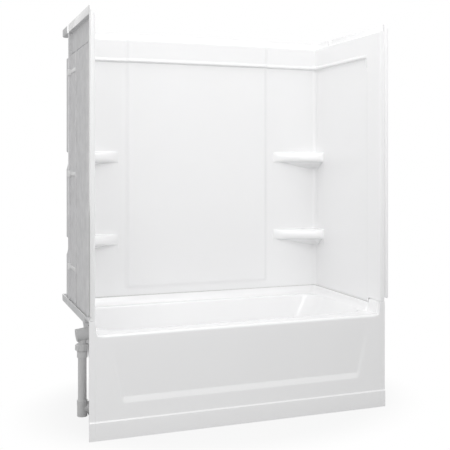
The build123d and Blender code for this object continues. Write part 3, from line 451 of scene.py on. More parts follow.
def scoop(x, z):
    """How deep the apron's scoop is."""
    rise = (z - SCOOP_FOOT_Z) / (SCOOP_TOP_Z - SCOOP_FOOT_Z)
    side = SCOOP_SIDE_FOOT + (SCOOP_SIDE_TOP - SCOOP_SIDE_FOOT) * rise
    inside = ramp((side - np.abs(x)) / SCOOP_BEVEL, 0.25)
    upper = (SCOOP_TOP_Z - z) / (SCOOP_TOP_Z - SCOOP_DEEP_Z)
    lower = (z - SCOOP_FOOT_Z) / (SCOOP_DEEP_Z - SCOOP_FOOT_Z)
    depth = hinge(np.minimum(upper, lower), 0.04)
    return SCOOP_DEPTH * np.minimum(depth, 1) * inside


def apron_face(x, z):
    """Place of the apron's face, front to back."""
    toe = TOE_REACH * ramp((TOE_TOP_Z - z) / 3.5, 0.35)
    band = END_BAND_STEP * ramp((np.abs(x) - PILASTER_X + 1) / 2)
    return APRON_Y + scoop(x, z) + band - toe


def apron_rows():
    """Rows from the rim's front edge down to the floor."""
    x = np.array([-STUD_X, -FLANGE_X, *front_x, FLANGE_X, STUD_X])
    radius = front_radius(x)
    top = deck(np.clip(x, -FLANGE_X, FLANGE_X), APRON_Y + radius)
    face = apron_face(x, top)
    rows = []
    set_back = face - APRON_Y
    for angle in quarter(7):
        y = APRON_Y + radius * (1 - sin(angle)) + set_back * sin(angle)
        rows.append(np.column_stack([x, y, top - radius * (1 - cos(angle))]))
    below = top - radius
    first = 428.0
    levels = spread((first, 12), (204, 22), (148, 6), (92, 10), (78, 5), (0, 1))
    for share in np.linspace(0, 1, 8)[1:-1]:
        z = below + (first - below) * share
        rows.append(np.column_stack([x, apron_face(x, z), z]))
    for z in levels:
        rows.append(np.column_stack([x, apron_face(x, z), np.full(len(x), z)]))
    return np.array(rows)


tub_sheet.patch(apron_rows())

# %% Bathtub: weld and thicken
tub_mesh = tub_sheet.mesh("tub_shell")
weld(tub_mesh)
face_towards(tub_mesh, (0, -1500, 3000))
tub_shell = thicken(new_object("tub_shell", tub_mesh))
report(tub_shell)

# %% [markdown]
# Four upright ribs tie the rim to the apron. They are alike and stand at even steps, so they are a
# small Geometry Nodes tree: a line of points, one rib on each, made real at the end. The tree's
# sizes are named inputs, set by each socket's own identifier.

# %% A tree that repeats a shape along a line
def value_input(tree, name, kind):
    """Adds a named input to a node tree."""
    return tree.interface.new_socket(name=name, in_out="INPUT", socket_type=kind)


def repeat_tree(name, along_circle):
    """Nodes that place the incoming shape on a line or a circle, realize it and give its material."""
    tree = bpy.data.node_groups.new(name, "GeometryNodeTree")
    value_input(tree, "Shape", "NodeSocketGeometry")
    value_input(tree, "Count", "NodeSocketInt")
    value_input(tree, "Step", "NodeSocketFloat" if along_circle else "NodeSocketVector")
    value_input(tree, "Finish", "NodeSocketMaterial")
    tree.interface.new_socket(name="Shape", in_out="OUTPUT", socket_type="NodeSocketGeometry")
    given = tree.nodes.new("NodeGroupInput")
    result = tree.nodes.new("NodeGroupOutput")
    place = tree.nodes.new("GeometryNodeInstanceOnPoints")
    if along_circle:
        points = tree.nodes.new("GeometryNodeMeshCircle")
        tree.links.new(given.outputs["Count"], points.inputs["Vertices"])
        tree.links.new(given.outputs["Step"], points.inputs["Radius"])
        turn = tree.nodes.new("GeometryNodeInputNormal")
        align = tree.nodes.new("FunctionNodeAlignRotationToVector")
        align.axis = "X"
        position = tree.nodes.new("GeometryNodeInputPosition")
        tree.nodes.remove(turn)
        tree.links.new(position.outputs["Position"], align.inputs["Vector"])
        tree.links.new(align.outputs["Rotation"], place.inputs["Rotation"])
    else:
        points = tree.nodes.new("GeometryNodeMeshLine")
        tree.links.new(given.outputs["Count"], points.inputs["Count"])
        tree.links.new(given.outputs["Step"], points.inputs["Offset"])
    real = tree.nodes.new("GeometryNodeRealizeInstances")
    finish = tree.nodes.new("GeometryNodeSetMaterial")
    tree.links.new(points.outputs["Mesh"], place.inputs["Points"])
    tree.links.new(given.outputs["Shape"], place.inputs["Instance"])
    tree.links.new(place.outputs["Instances"], real.inputs["Geometry"])
    tree.links.new(real.outputs["Geometry"], finish.inputs["Geometry"])
    tree.links.new(given.outputs["Finish"], finish.inputs["Material"])
    tree.links.new(finish.outputs["Geometry"], result.inputs["Shape"])
    return tree


ALONG_LINE = repeat_tree("repeat along a line", False)
ROUND_CIRCLE = repeat_tree("repeat round a circle", True)


def repeated(name, mesh, tree, count, step, finish):
    """A mesh repeated by one of the trees, as a plain mesh object."""
    piece = new_object(name, mesh)
    nodes = piece.modifiers.new("repeat", "NODES")
    nodes.node_group = tree
    values = {"Count": count, "Step": step, "Finish": finish}
    for socket in tree.interface.items_tree:
        if socket.in_out == "INPUT" and socket.name in values:
            nodes[socket.identifier] = values[socket.name]
    return apply_modifiers(piece)


def join_into(piece, *others):
    """Moves the meshes of other objects into a piece's mesh."""
    shape = bmesh.new()
    shape.from_mesh(piece.data)
    for other in others:
        shape.from_mesh(other.data)
        bpy.data.objects.remove(other)
    shape.to_mesh(piece.data)
    shape.free()
    return piece


print("trees", ALONG_LINE.name, "and", ROUND_CIRCLE.name)

# %% [markdown]
# Every finish is a node material. They share two shader groups. One gives a faint unevenness of
# tone, as in any casting or moulding. The other gives the fine waviness of a sprayed or moulded
# surface, which breaks up reflections. The groups give out only values, and the Principled shader
# stays in each material, so each finish keeps its own gloss.

# %% Shared shader groups
def shader_group(name, inputs, output):
    """An empty shader group with named number inputs and one number output."""
    tree = bpy.data.node_groups.new(name, "ShaderNodeTree")
    for label, value in inputs.items():
        socket = tree.interface.new_socket(name=label, in_out="INPUT", socket_type="NodeSocketFloat")
        socket.default_value = value
    tree.interface.new_socket(name=output, in_out="OUTPUT", socket_type="NodeSocketFloat")
    return tree, tree.nodes.new("NodeGroupInput"), tree.nodes.new("NodeGroupOutput")


def noise_node(tree, scale_from, detail, stretch=None):
    """Noise on Object coordinates, with its scale taken from a socket."""
    place = tree.nodes.new("ShaderNodeTexCoord")
    noise = tree.nodes.new("ShaderNodeTexNoise")
    noise.inputs["Detail"].default_value = detail
    spot = place.outputs["Object"]
    if stretch:
        mapping = tree.nodes.new("ShaderNodeMapping")
        mapping.inputs["Scale"].default_value = stretch
        tree.links.new(spot, mapping.inputs["Vector"])
        spot = mapping.outputs["Vector"]
    tree.links.new(spot, noise.inputs["Vector"])
    tree.links.new(scale_from, noise.inputs["Scale"])
    return noise


def range_node(tree, value, low, high):
    """Spreads the middle of a noise over the range from low to high."""
    spread_out = tree.nodes.new("ShaderNodeMapRange")
    spread_out.inputs["From Min"].default_value = 0.3
    spread_out.inputs["From Max"].default_value = 0.7
    tree.links.new(value, spread_out.inputs["Value"])
    for socket, source in (("To Min", low), ("To Max", high)):
        if isinstance(source, float):
            spread_out.inputs[socket].default_value = source
        else:
            tree.links.new(source, spread_out.inputs[socket])
    return spread_out


def make_tone_group():
    """Slow unevenness: a mask between 0 and 1."""
    tree, given, result = shader_group("uneven tone", {"Scale": 6.0}, "Mask")
    noise = noise_node(tree, given.outputs["Scale"], 3.0)
    mask = range_node(tree, noise.outputs["Fac"], 0.0, 1.0)
    tree.links.new(mask.outputs["Result"], result.inputs["Mask"])
    return tree


def make_skin_group():
    """Fine waviness: a height around a half, made of a broad and a fine noise."""
    inputs = {"Broad scale": 25.0, "Fine scale": 260.0, "Fine share": 0.3}
    tree, given, result = shader_group("skin waviness", inputs, "Height")
    broad = noise_node(tree, given.outputs["Broad scale"], 1.0)
    fine = noise_node(tree, given.outputs["Fine scale"], 2.0)
    mix = tree.nodes.new("ShaderNodeMix")
    tree.links.new(given.outputs["Fine share"], mix.inputs["Factor"])
    tree.links.new(broad.outputs["Fac"], mix.inputs["A"])
    tree.links.new(fine.outputs["Fac"], mix.inputs["B"])
    tree.links.new(mix.outputs["Result"], result.inputs["Height"])
    return tree


TONE_GROUP = make_tone_group()
SKIN_GROUP = make_skin_group()
print("groups", TONE_GROUP.name, "and", SKIN_GROUP.name)


# %% One maker for all finishes
def finish_material(name, light, dark, rough, skin, bump, tone_scale=6.0, **plain):
    """A Principled material whose colour and roughness vary slightly and whose skin is a bump."""
    material = bpy.data.materials.new(name)
    material.use_nodes = True
    tree = material.node_tree
    shader = tree.nodes["Principled BSDF"]
    tone = tree.nodes.new("ShaderNodeGroup")
    tone.node_tree = TONE_GROUP
    tone.inputs["Scale"].default_value = tone_scale
    colour = tree.nodes.new("ShaderNodeMix")
    colour.data_type = "RGBA"
    colour.inputs["A"].default_value = (*light, 1)
    colour.inputs["B"].default_value = (*dark, 1)
    tree.links.new(tone.outputs["Mask"], colour.inputs["Factor"])
    tree.links.new(colour.outputs["Result"], shader.inputs["Base Color"])
    gloss = tree.nodes.new("ShaderNodeMapRange")
    gloss.inputs["To Min"].default_value = rough[0]
    gloss.inputs["To Max"].default_value = rough[1]
    tree.links.new(tone.outputs["Mask"], gloss.inputs["Value"])
    tree.links.new(gloss.outputs["Result"], shader.inputs["Roughness"])
    wave = tree.nodes.new("ShaderNodeGroup")
    wave.node_tree = SKIN_GROUP
    for label, value in zip(("Broad scale", "Fine scale", "Fine share"), skin):
        wave.inputs[label].default_value = value
    relief = tree.nodes.new("ShaderNodeBump")
    relief.inputs["Strength"].default_value = bump[0]
    relief.inputs["Distance"].default_value = bump[1] * MM
    tree.links.new(wave.outputs["Height"], relief.inputs["Height"])
    tree.links.new(relief.outputs["Normal"], shader.inputs["Normal"])
    for label, value in plain.items():
        shader.inputs[label.replace("_", " ")].default_value = value
    return material


# %% [markdown]
# The finishes themselves. The walls and the tub are one gloss white, cast with the faintest
# waviness. Their backs are the bare composite, rougher, with glass fibre just under the skin, and
# their greyer colour is painted shade for the faces that stand out of the light. Pipes are duller
# than the tub, so that the two whites stay apart.

# %% Finishes
WHITE = finish_material("gloss white moulding", (0.96, 0.96, 0.963), (0.953, 0.953, 0.957), (0.2, 0.27),
                        (14.0, 220.0, 0.15), (0.25, 0.25), 3.0, Coat_Weight=0.5, Coat_Roughness=0.08)
# Painted shade: the backs' grey stands in for the shade on faces turned away from the lamps; the roughness and fibre
# are the composite's own.
BARE_WITH_PAINTED_SHADE = finish_material("bare composite back with painted shade", (0.82, 0.82, 0.826), (0.735, 0.735, 0.741), (0.75, 0.9),
                       (90.0, 700.0, 0.5), (0.5, 0.5), 22.0, Specular_IOR_Level=0.25)
CLIP = finish_material("satin clip plastic", (0.93, 0.93, 0.93), (0.9, 0.9, 0.9), (0.3, 0.42),
                       (120.0, 900.0, 0.4), (0.3, 0.1), 40.0)
FOAM = finish_material("pale foam seal", (0.84, 0.84, 0.83), (0.72, 0.72, 0.71), (0.85, 0.95),
                       (500.0, 1600.0, 0.5), (0.9, 0.6), 120.0)
PAD = finish_material("white foam pad", (0.88, 0.88, 0.86), (0.78, 0.78, 0.76), (0.85, 0.95),
                      (260.0, 700.0, 0.5), (0.9, 1.2), 60.0)
PIPE = finish_material("dull white pipe", (0.78, 0.78, 0.78), (0.72, 0.72, 0.72), (0.38, 0.5),
                       (60.0, 600.0, 0.35), (0.3, 0.15), 18.0)
WASHER = finish_material("milky washer", (0.74, 0.74, 0.71), (0.66, 0.66, 0.63), (0.4, 0.5),
                         (90.0, 800.0, 0.4), (0.3, 0.1), 50.0)
RUBBER = finish_material("black rubber", (0.03, 0.03, 0.03), (0.05, 0.05, 0.05), (0.6, 0.8),
                         (150.0, 1200.0, 0.6), (0.6, 0.15), 60.0)
CHROME = finish_material("polished chrome", (0.86, 0.87, 0.88), (0.8, 0.81, 0.82), (0.05, 0.12),
                         (40.0, 500.0, 0.2), (0.08, 0.05), 30.0, Metallic=1.0)
BRASS = finish_material("turned brass", (0.8, 0.62, 0.34), (0.7, 0.52, 0.26), (0.25, 0.4),
                        (200.0, 1500.0, 0.5), (0.3, 0.05), 80.0, Metallic=1.0)
print(len(bpy.data.materials), "materials")


def give(piece, *finishes):
    """Puts finishes in a piece's material slots, and keeps which faces use which slot."""
    slots = piece.data.materials
    while len(slots) < len(finishes):
        slots.append(None)
    for place in range(len(slots)):
        slots[place] = finishes[min(place, len(finishes) - 1)]
    return piece


# %% [markdown]
# Now the ribs under the rim. One rib is a flat upright plate; its corners are rounded before the
# tree repeats it.

# %% Ribs under the rim
RIB_T = 4.0
RIB_DROP = 60.0
RIB_COUNT = 4


def block_mesh(name, x, y, z):
    """A closed block between limits in millimetres."""
    piece = new_object(name, bpy.data.meshes.new(name))
    add_blocks(piece, [(x, y, z)])
    return piece


def rim_ribs():
    """The four ribs as one object."""
    step = (OPENING[1] - OPENING[0]) / RIB_COUNT
    first = OPENING[0] + step / 2
    reach = (APRON_Y + SHELL - 1, OPENING[2] + 6)
    rib = block_mesh("rim_ribs", (first - RIB_T / 2, first + RIB_T / 2), reach, (RIM_Z - RIB_DROP, RIM_Z - SHELL + 1))
    soften(rib, 0.8)
    mesh = rib.data
    bpy.data.objects.remove(rib)
    return repeated("rim_ribs", mesh, ALONG_LINE, RIB_COUNT, (step * MM, 0, 0), BARE_WITH_PAINTED_SHADE)


give(tub_shell, WHITE, BARE_WITH_PAINTED_SHADE)
join_into(tub_shell, rim_ribs())
smooth(tub_shell, radians(72))
report(tub_shell)

# %% [markdown]
# The back wall is one grid too. Its columns follow the wall in plan: the left return, a rounded
# corner, the back, the other corner and the right return. Its rows follow a profile from the foot
# lip to the nailing flange. A point is its column's place, moved outwards by its row's offset.

# %% Back wall: plan
return_y = spread((SEAM_Y, 3), (238, 1), (245.5, 3), (265, 6), (275, 3), (290, 4), (350.5, 1))
back_half = spread((0, 8), (396, 14), (428, 3), (450, 9), (468, 6), (492, 14), (717, 1))
CORNER_STEPS = 8
FLANGE_CORNER_R = 7.0
NOTCH_Y = 245.5                 # the top flange starts here, behind the seam


def plan(half_x, back, radius, y_values, x_values):
    """Places and outward directions along the back wall in plan, from the left seam to the right."""
    turn = np.linspace(pi, pi / 2, CORNER_STEPS + 1)[1:-1]
    right = [(half_x, y, 1, 0) for y in y_values]
    right += [(half_x - radius + radius * -cos(a), back - radius + radius * sin(a), -cos(a), sin(a)) for a in turn]
    right += [(x, back, 0, 1) for x in x_values[::-1]]
    left = [(-x, y, -out_x, out_y) for x, y, out_x, out_y in right[:-1]]
    return np.array([*left, *right[::-1]])


wall_plan = plan(PANEL_X, BACK_Y, WALL_CORNER_R, return_y, back_half)
flange_y = np.interp(return_y, (300, return_y[-1]), (300, STUD_Y - FLANGE_T - FLANGE_CORNER_R))
flange_y = np.where(return_y < 300, return_y, flange_y)
flange_x = np.where(back_half > 660, np.interp(back_half, (660, 717), (660, FLANGE_X - FLANGE_CORNER_R)), back_half)
flange_plan = plan(FLANGE_X, STUD_Y - FLANGE_T, FLANGE_CORNER_R, flange_y, flange_x)
print("columns", len(wall_plan))

# %% Back wall: raised centre panel
CENTRE_HALF = PANEL_X - 322.0
CENTRE_RAISE = 12.0
CENTRE_BEVEL = 15.0
CENTRE_FOOT_Z = LEDGE_Z + 42.0


def centre_raise(x, z):
    """How far the centre panel stands forward."""
    across = ramp((CENTRE_HALF - np.abs(x)) / CENTRE_BEVEL, 0.5)
    return CENTRE_RAISE * across * ramp((z - CENTRE_FOOT_Z) / CENTRE_BEVEL, 0.5)


# %% Back wall: rows from foot to band
FOOT_LIP = 12.0
BAND_STEP = 8.0
BEAD_PROUD = 5.0
BEAD_UNDER = 6.0                # height of the bead's rounded underside
BEAD_OVER = 13.0                # and of its longer upper side
UNDER_BAND_R = 4.0
TOP_EDGE_R = 6.0


def bead_rows():
    """Profile from the panel under the band, round the bead and on to the band."""
    rows = []
    for angle in quarter(5):
        rows.append((-UNDER_BAND_R * (1 - cos(angle)), BAND_Z - UNDER_BAND_R * (1 - sin(angle))))
    start = rows[-1][0]
    nose = -BAND_STEP - BEAD_PROUD
    for angle in quarter(5)[1:]:
        rows.append((start + (nose - start) * sin(angle), BAND_Z + BEAD_UNDER * (1 - cos(angle))))
    for angle in quarter(9)[1:]:
        out = nose + BEAD_PROUD * (1 - cos(angle))
        rows.append((out, BAND_Z + BEAD_UNDER + BEAD_OVER * sin(angle)))
    rows.append((-BAND_STEP, BAND_Z + BEAD_UNDER + BEAD_OVER + 2))
    return rows


def plain_rows(levels, offset=0.0):
    """Rows straight up a flat face."""
    return [(offset, z) for z in levels]


foot_rows = [(FOOT_LIP, WALL_FOOT_Z), (FOOT_LIP / 2, WALL_FOOT_Z), (1.5, WALL_FOOT_Z), (0.4, WALL_FOOT_Z + 0.4),
             (0, WALL_FOOT_Z + 1.5)]
SEAM_LIP_Z = TUB_FLANGE_Z + 2.0
SEAM_LIP_X = PANEL_X + SHELL + 12.0

# %% [markdown]
# The shelves are pulled out of the same grid, so shelf and wall are one skin with no seam, as in
# the real moulding. In plan a shelf's front edge is a straight line across the corner. In section
# it has a rounded nose, a flat top and an underside that slopes down to a tip in the corner. Rows
# and columns outside the shelf are left alone.

# %% Back wall: corner shelves
SHELF_TOPS = (LEDGE_Z + 341.0, LEDGE_Z + 794.0)
SHELF_ENDS = ((PANEL_X - 282.0, BACK_Y), (PANEL_X, BACK_Y - 107.0))
NOSE = 56.0
UNDERSIDE_DROP = 40.0
NOSE_TOP_R = 32.0
NOSE_FOOT_R = 16.0
SHELF_COVE_R = 5.0
UNDER_STEPS = 7
TOP_STEPS = 8


def shelf_section():
    """Rows of a shelf from the tip of its underside over the nose to the wall above it.

    Each is (kind, along, height): along is a share of the way to the nose, or a distance behind it."""
    rows = [("under", share, 0) for share in np.linspace(0, 1, UNDER_STEPS, endpoint=False)]
    rows += [("nose", NOSE_FOOT_R * (1 - sin(a)), -NOSE + NOSE_FOOT_R * (1 - cos(a))) for a in quarter(7)]
    rows += [("nose", 0, z) for z in np.linspace(-NOSE + NOSE_FOOT_R, -NOSE_TOP_R, 3)[1:-1]]
    rows += [("nose", NOSE_TOP_R * (1 - cos(a)), -NOSE_TOP_R * (1 - sin(a))) for a in quarter(8)]
    rows += [("top", share, 0) for share in np.linspace(1, 0, TOP_STEPS + 1)[1:]]
    rows += [("cove", SHELF_COVE_R * (1 - sin(a)), SHELF_COVE_R * (1 - cos(a))) for a in quarter(4)[1:]]
    return rows


def shelf_reach(column):
    """Depth of the shelf at a column, the way to its front edge and how low its underside starts."""
    x, y = abs(column[0]), column[1]
    (start_x, start_y), (end_x, end_y) = SHELF_ENDS
    along_back = max(0.0, x - start_x)
    along_return = max(0.0, start_y - y)
    back_length = end_x - start_x
    return_length = start_y - end_y
    if x < start_x or y < end_y:
        return 0.0, (0, 0), 0.0
    share = (along_back + along_return) / (back_length + return_length)
    front_x = start_x + (end_x - start_x) * share
    front_y = start_y + (end_y - start_y) * share
    way = np.array([front_x - x, front_y - y])
    depth = np.hypot(*way)
    if depth < 0.01:
        return 0.0, (0, 0), 0.0
    way = way / depth * [np.sign(column[0]), 1]
    on_back = min(1.0, max(0.0, (along_back - 26) / (back_length - 56)))
    on_return = min(1.0, max(0.0, (return_length - 10 - along_return) / (return_length - 34)))
    low = min(on_back, on_return)
    return depth, way, low * low * (3 - 2 * low)


def shelf_point(column, reach, row, top, z_plain):
    """Place of one grid point in the zone of a shelf."""
    depth, way, low = reach
    plain = np.array([column[0], column[1], z_plain])
    if depth == 0:
        return plain
    kind, along, height = row
    scale = min(1.0, depth / 56)
    if kind == "under":
        out = along * (depth - NOSE_FOOT_R * scale)
        z = top - NOSE - UNDERSIDE_DROP * low * (1 - along) ** 1.2
    elif kind == "nose":
        out = depth - along * scale
        z = top + height
    elif kind == "top":
        cove = min(SHELF_COVE_R, depth / 3)
        out = cove + along * (depth - NOSE_TOP_R * scale - cove)
        z = top
    else:
        cove = min(SHELF_COVE_R, depth / 3) / SHELF_COVE_R
        out = along * cove
        z = top + height * cove
    formed = min(1.0, depth / 3)
    shaped = np.array([column[0] + way[0] * out, column[1] + way[1] * out, z])
    return plain + (shaped - plain) * formed


reaches = [shelf_reach(column) for column in wall_plan]


def shelf_rows(top):
    """Grid rows through one level of shelves."""
    section = shelf_section()
    levels = np.linspace(top - NOSE - UNDERSIDE_DROP - 6, top + 14, len(section))
    rows = []
    for row, z in zip(section, levels):
        points = [shelf_point(column, reach, row, top, z) for column, reach in zip(wall_plan, reaches)]
        points = np.array(points)
        points[:, 1] -= centre_raise(points[:, 0], z) * (wall_plan[:, 3] > 0.99)
        rows.append(points)
    return rows


def wall_rows(profile):
    """Grid rows for (offset, height) pairs, with the raised centre panel."""
    rows = []
    for offset, z in profile:
        flat = wall_plan[:, :2] + wall_plan[:, 2:] * offset
        points = raised(flat, z)
        points[:, 1] -= centre_raise(wall_plan[:, 0], z) * (wall_plan[:, 3] > 0.99)
        rows.append(points)
    return rows


low_levels = spread((526, 2), (SEAM_LIP_Z, 3), (553, 9), (574, 6), (740, 1))
shelf_low, shelf_high = (shelf_rows(top) for top in SHELF_TOPS)
between_levels = spread((890, 8), (1190, 1))
above_levels = spread((1340, 12), (1770, 4), (BAND_Z - UNDER_BAND_R - 2, 1))
profile_low = [*foot_rows, *plain_rows(low_levels)]
profile_high = [*plain_rows(above_levels), *bead_rows()]
profile_high += plain_rows(spread((1832, 6), (TOP_LEDGE_Z - TOP_EDGE_R - 3, 1)), -BAND_STEP)
for angle in quarter(5):
    profile_high.append((-BAND_STEP + TOP_EDGE_R * (1 - cos(angle)), TOP_LEDGE_Z - TOP_EDGE_R * (1 - sin(angle))))
face_rows = [*wall_rows(profile_low), *shelf_low, *wall_rows(plain_rows(between_levels)), *shelf_high,
             *wall_rows(profile_high)]

# %% [markdown]
# Above the band a ledge runs outwards to the nailing flange. The flange has its own, squarer plan,
# so the ledge rows slide from the wall's plan to the flange's. The flange stops short of the seam,
# and the seam lips turn outwards there.

# %% Back wall: ledge, flange and seam lips
LEDGE_COVE_R = 4.0
ledge_start = face_rows[-1]
ledge_end = raised(flange_plan[:, :2] - flange_plan[:, 2:] * LEDGE_COVE_R, TOP_LEDGE_Z)
face_rows += [*between(ledge_start, ledge_end, 3), ledge_end]
back_sheet = Sheet()
back_sheet.patch(np.array(face_rows))


def flange_profile():
    """Rows round the cove and up the flange."""
    rows = []
    for angle in quarter(3):
        inset = LEDGE_COVE_R * (1 - sin(angle))
        rows.append(raised(flange_plan[:, :2] - flange_plan[:, 2:] * inset,
                           TOP_LEDGE_Z + LEDGE_COVE_R * (1 - cos(angle))))
    for z in (1945.0, HEIGHT):
        rows.append(raised(flange_plan[:, :2], z))
    return np.array(rows)


behind_notch = np.flatnonzero(flange_plan[:, 1] >= NOTCH_Y - 0.1)
back_sheet.patch(flange_profile()[:, behind_notch[0]:behind_notch[-1] + 1])


def seam_lips(rows, sheet):
    """Strips that turn outwards along both seams, above the tub's nailing flange."""
    tall = [row for row in rows if SEAM_LIP_Z - 0.1 <= row[0, 2] <= TOP_LEDGE_Z - TOP_EDGE_R + 0.1]
    for end in (0, -1):
        edge = np.array([row[end] for row in tall])
        tip = edge.copy()
        tip[:, 0] = np.sign(edge[:, 0]) * SEAM_LIP_X
        sheet.patch(np.array([edge, (edge + tip) / 2, tip]))


seam_lips(face_rows, back_sheet)
back_mesh = back_sheet.mesh("back_wall_shell")
weld(back_mesh)
face_towards(back_mesh, (0, -600, 1200))
back_shell = give(thicken(new_object("back_wall_shell", back_mesh)), WHITE, BARE_WITH_PAINTED_SHADE)
smooth(back_shell)
report(back_shell)

# %% [markdown]
# An end wall is the same kind of sheet, seen from the side. Going forward from the seam it has a
# recessed panel under the band, a front pilaster, a rounded front edge and a narrow front face. The
# left wall is the right one with x turned round, and its faces turned to match.

# %% End walls: columns
FRONT_EDGE_R = 8.0
PILASTER_Y = APRON_Y + 133.0
PILASTER_BEVEL = 6.0
WEDGE_WIDTH = 42.0              # the same bevel at its widest, right under the band
WEDGE_DROP = 75.0               # the bevel widens over this height
FACE_END_X = FLANGE_X - PILASTER_X + 1
ARC_STEPS = 6
face_y = spread((SEAM_Y, 2), (215, 12), (-160, 4), (-190, 20), (-230, 12), (-242, 3), (-251, 2), (-262, 6),
                (APRON_Y + FRONT_EDGE_R, 1))
front_steps = spread((FRONT_EDGE_R, 4), (FACE_END_X, 1))[1:]


def end_plan():
    """Columns of the right end wall: place across, place in depth, and how far round the front edge."""
    columns = [(0.0, y, 0.0) for y in face_y]
    for angle in quarter(ARC_STEPS)[1:]:
        across = FRONT_EDGE_R * (1 - cos(angle))
        columns.append((across, APRON_Y + FRONT_EDGE_R * (1 - sin(angle)), angle / (pi / 2)))
    columns += [(across, APRON_Y, 1.0) for across in front_steps]
    return np.array(columns)


end_columns = end_plan()
print("end wall columns", len(end_columns))


def recess_share(y, z):
    """1 on the recessed panel and 0 on the pilaster. The bevel between them widens under the band."""
    widening = np.clip((z - BAND_Z + WEDGE_DROP) / WEDGE_DROP, 0, 1)
    bevel = PILASTER_BEVEL + (WEDGE_WIDTH - PILASTER_BEVEL) * widening
    return ramp((y - PILASTER_Y) / bevel, 1.5 / bevel)


def end_rows(profile, columns):
    """Grid rows of the right end wall for (offset, height, push) rows.

    An offset of 0 is the recessed panel. A push moves every column outwards, less round the front."""
    rows = []
    for offset, z, push in profile:
        still = 1 - columns[:, 2]
        share = recess_share(columns[:, 1], min(z, BAND_Z)) * still
        x = PILASTER_X + columns[:, 0] + (offset + BAND_STEP) * share + push * still
        rows.append(raised(np.column_stack([x, columns[:, 1]]), z))
    return rows


# %% End walls: face, foot and top ledge
EAR_TOP_Z = EAR_Z + 2.0
EAR_JOINT_Y = EAR_BACK_Y + 2.0
behind_ear = end_columns[end_columns[:, 1] > EAR_JOINT_Y]
foot_profile = [(0, z, out) for out, z in foot_rows]
foot_profile += [(0, z, 0) for z in spread((526, 2), (EAR_TOP_Z, 1))]
upper_levels = spread((EAR_TOP_Z, 1), (SEAM_LIP_Z, 2), (560, 3), (600, 14), (1715, 30),
                      (BAND_Z - UNDER_BAND_R - 1, 1))
upper_profile = [(0, z, 0) for z in upper_levels]
upper_profile += [(offset, z, 0) for offset, z in bead_rows()]
upper_profile += [(-BAND_STEP, z, 0) for z in spread((1832, 6), (TOP_LEDGE_Z - TOP_EDGE_R - 3, 1))]
for angle in quarter(5):
    push = TOP_EDGE_R * (1 - cos(angle))
    upper_profile.append((-BAND_STEP, TOP_LEDGE_Z - TOP_EDGE_R * (1 - sin(angle)), push))
end_sheet = Sheet()
end_sheet.patch(np.array(end_rows(foot_profile, behind_ear)))
upper_rows = end_rows(upper_profile, end_columns)
end_sheet.patch(np.array(upper_rows))


def top_ledge():
    """The ledge from the face's top edge out to the flange, ending at the same places as the front face."""
    edge = upper_rows[-1][:len(face_y) + ARC_STEPS]
    rows = [edge]
    for across in front_steps:
        row = edge.copy()
        row[:, 0] += (PILASTER_X + FACE_END_X - edge[:, 0]) * (across - FRONT_EDGE_R) / (FACE_END_X - FRONT_EDGE_R)
        rows.append(row)
    return np.array(rows)


end_sheet.patch(top_ledge())
print("end wall rows", len(upper_rows) + len(foot_profile))

# %% End walls: seam lip, and the shell
def one_seam_lip():
    """The strip that turns outwards along the end wall's seam."""
    edge = [row[0] for row in upper_rows if SEAM_LIP_Z - 0.1 <= row[0, 2] <= TOP_LEDGE_Z - TOP_EDGE_R + 0.1]
    edge = np.array(edge)
    tip = edge.copy()
    tip[:, 0] = SEAM_LIP_X
    return np.array([edge, (edge + tip) / 2, tip])


end_sheet.patch(one_seam_lip())
end_mesh = end_sheet.mesh("right_end_wall_shell")
weld(end_mesh)
face_towards(end_mesh, (-1500, -200, 1200))
right_shell = give(thicken(new_object("right_end_wall_shell", end_mesh)), WHITE, BARE_WITH_PAINTED_SHADE)

# %% [markdown]
# The flanges that the wall is nailed through are flat plates with a rounded foot and a cut upper
# corner. Each is an outline pushed through its thickness, and the outer rib is a plain bar. They
# are closed solids of their own, set against the shell.

# %% End walls: nailing flanges and outer rib
FLANGE_FOOT_Z = EAR_Z + 20.0
FLANGE_FOOT_R = 12.0
FLANGE_CHAMFER = 26.0
OUTER_RIB_Y = SEAM_Y - 175.0
OUTER_RIB_T = 8.0
OUTER_RIB_PROUD = 6.0


def plate_across_x(name, outline, x):
    """A flat plate whose outline is given as (y, z), between two places on X."""
    shape = bmesh.new()
    near = [shape.verts.new(Vector((x[0], y, z)) * MM) for y, z in outline]
    face = shape.faces.new(near)
    pushed = bmesh.ops.extrude_face_region(shape, geom=[face])
    far = [item for item in pushed["geom"] if isinstance(item, bmesh.types.BMVert)]
    bmesh.ops.translate(shape, verts=far, vec=((x[1] - x[0]) * MM, 0, 0))
    bmesh.ops.recalc_face_normals(shape, faces=shape.faces)
    mesh = bpy.data.meshes.new(name)
    shape.to_mesh(mesh)
    shape.free()
    return new_object(name, mesh)


def flange_outline():
    """Front flange: rounded foot, cut upper corner."""
    front = -STUD_Y
    behind = APRON_Y + SHELL
    foot = [(front + FLANGE_FOOT_R * (1 - sin(a)), FLANGE_FOOT_Z + FLANGE_FOOT_R * (1 - cos(a))) for a in quarter(6)]
    top = [(front, HEIGHT - FLANGE_CHAMFER), (front + FLANGE_CHAMFER, HEIGHT), (behind, HEIGHT)]
    return [(behind, FLANGE_FOOT_Z), *foot, *top]


def top_flange_outline():
    """Flange along the top of the end wall."""
    back = SEAM_Y - 22.0
    foot = TOP_LEDGE_Z - SHELL
    return [(APRON_Y, foot), (back, foot), (back, HEIGHT), (APRON_Y, HEIGHT)]


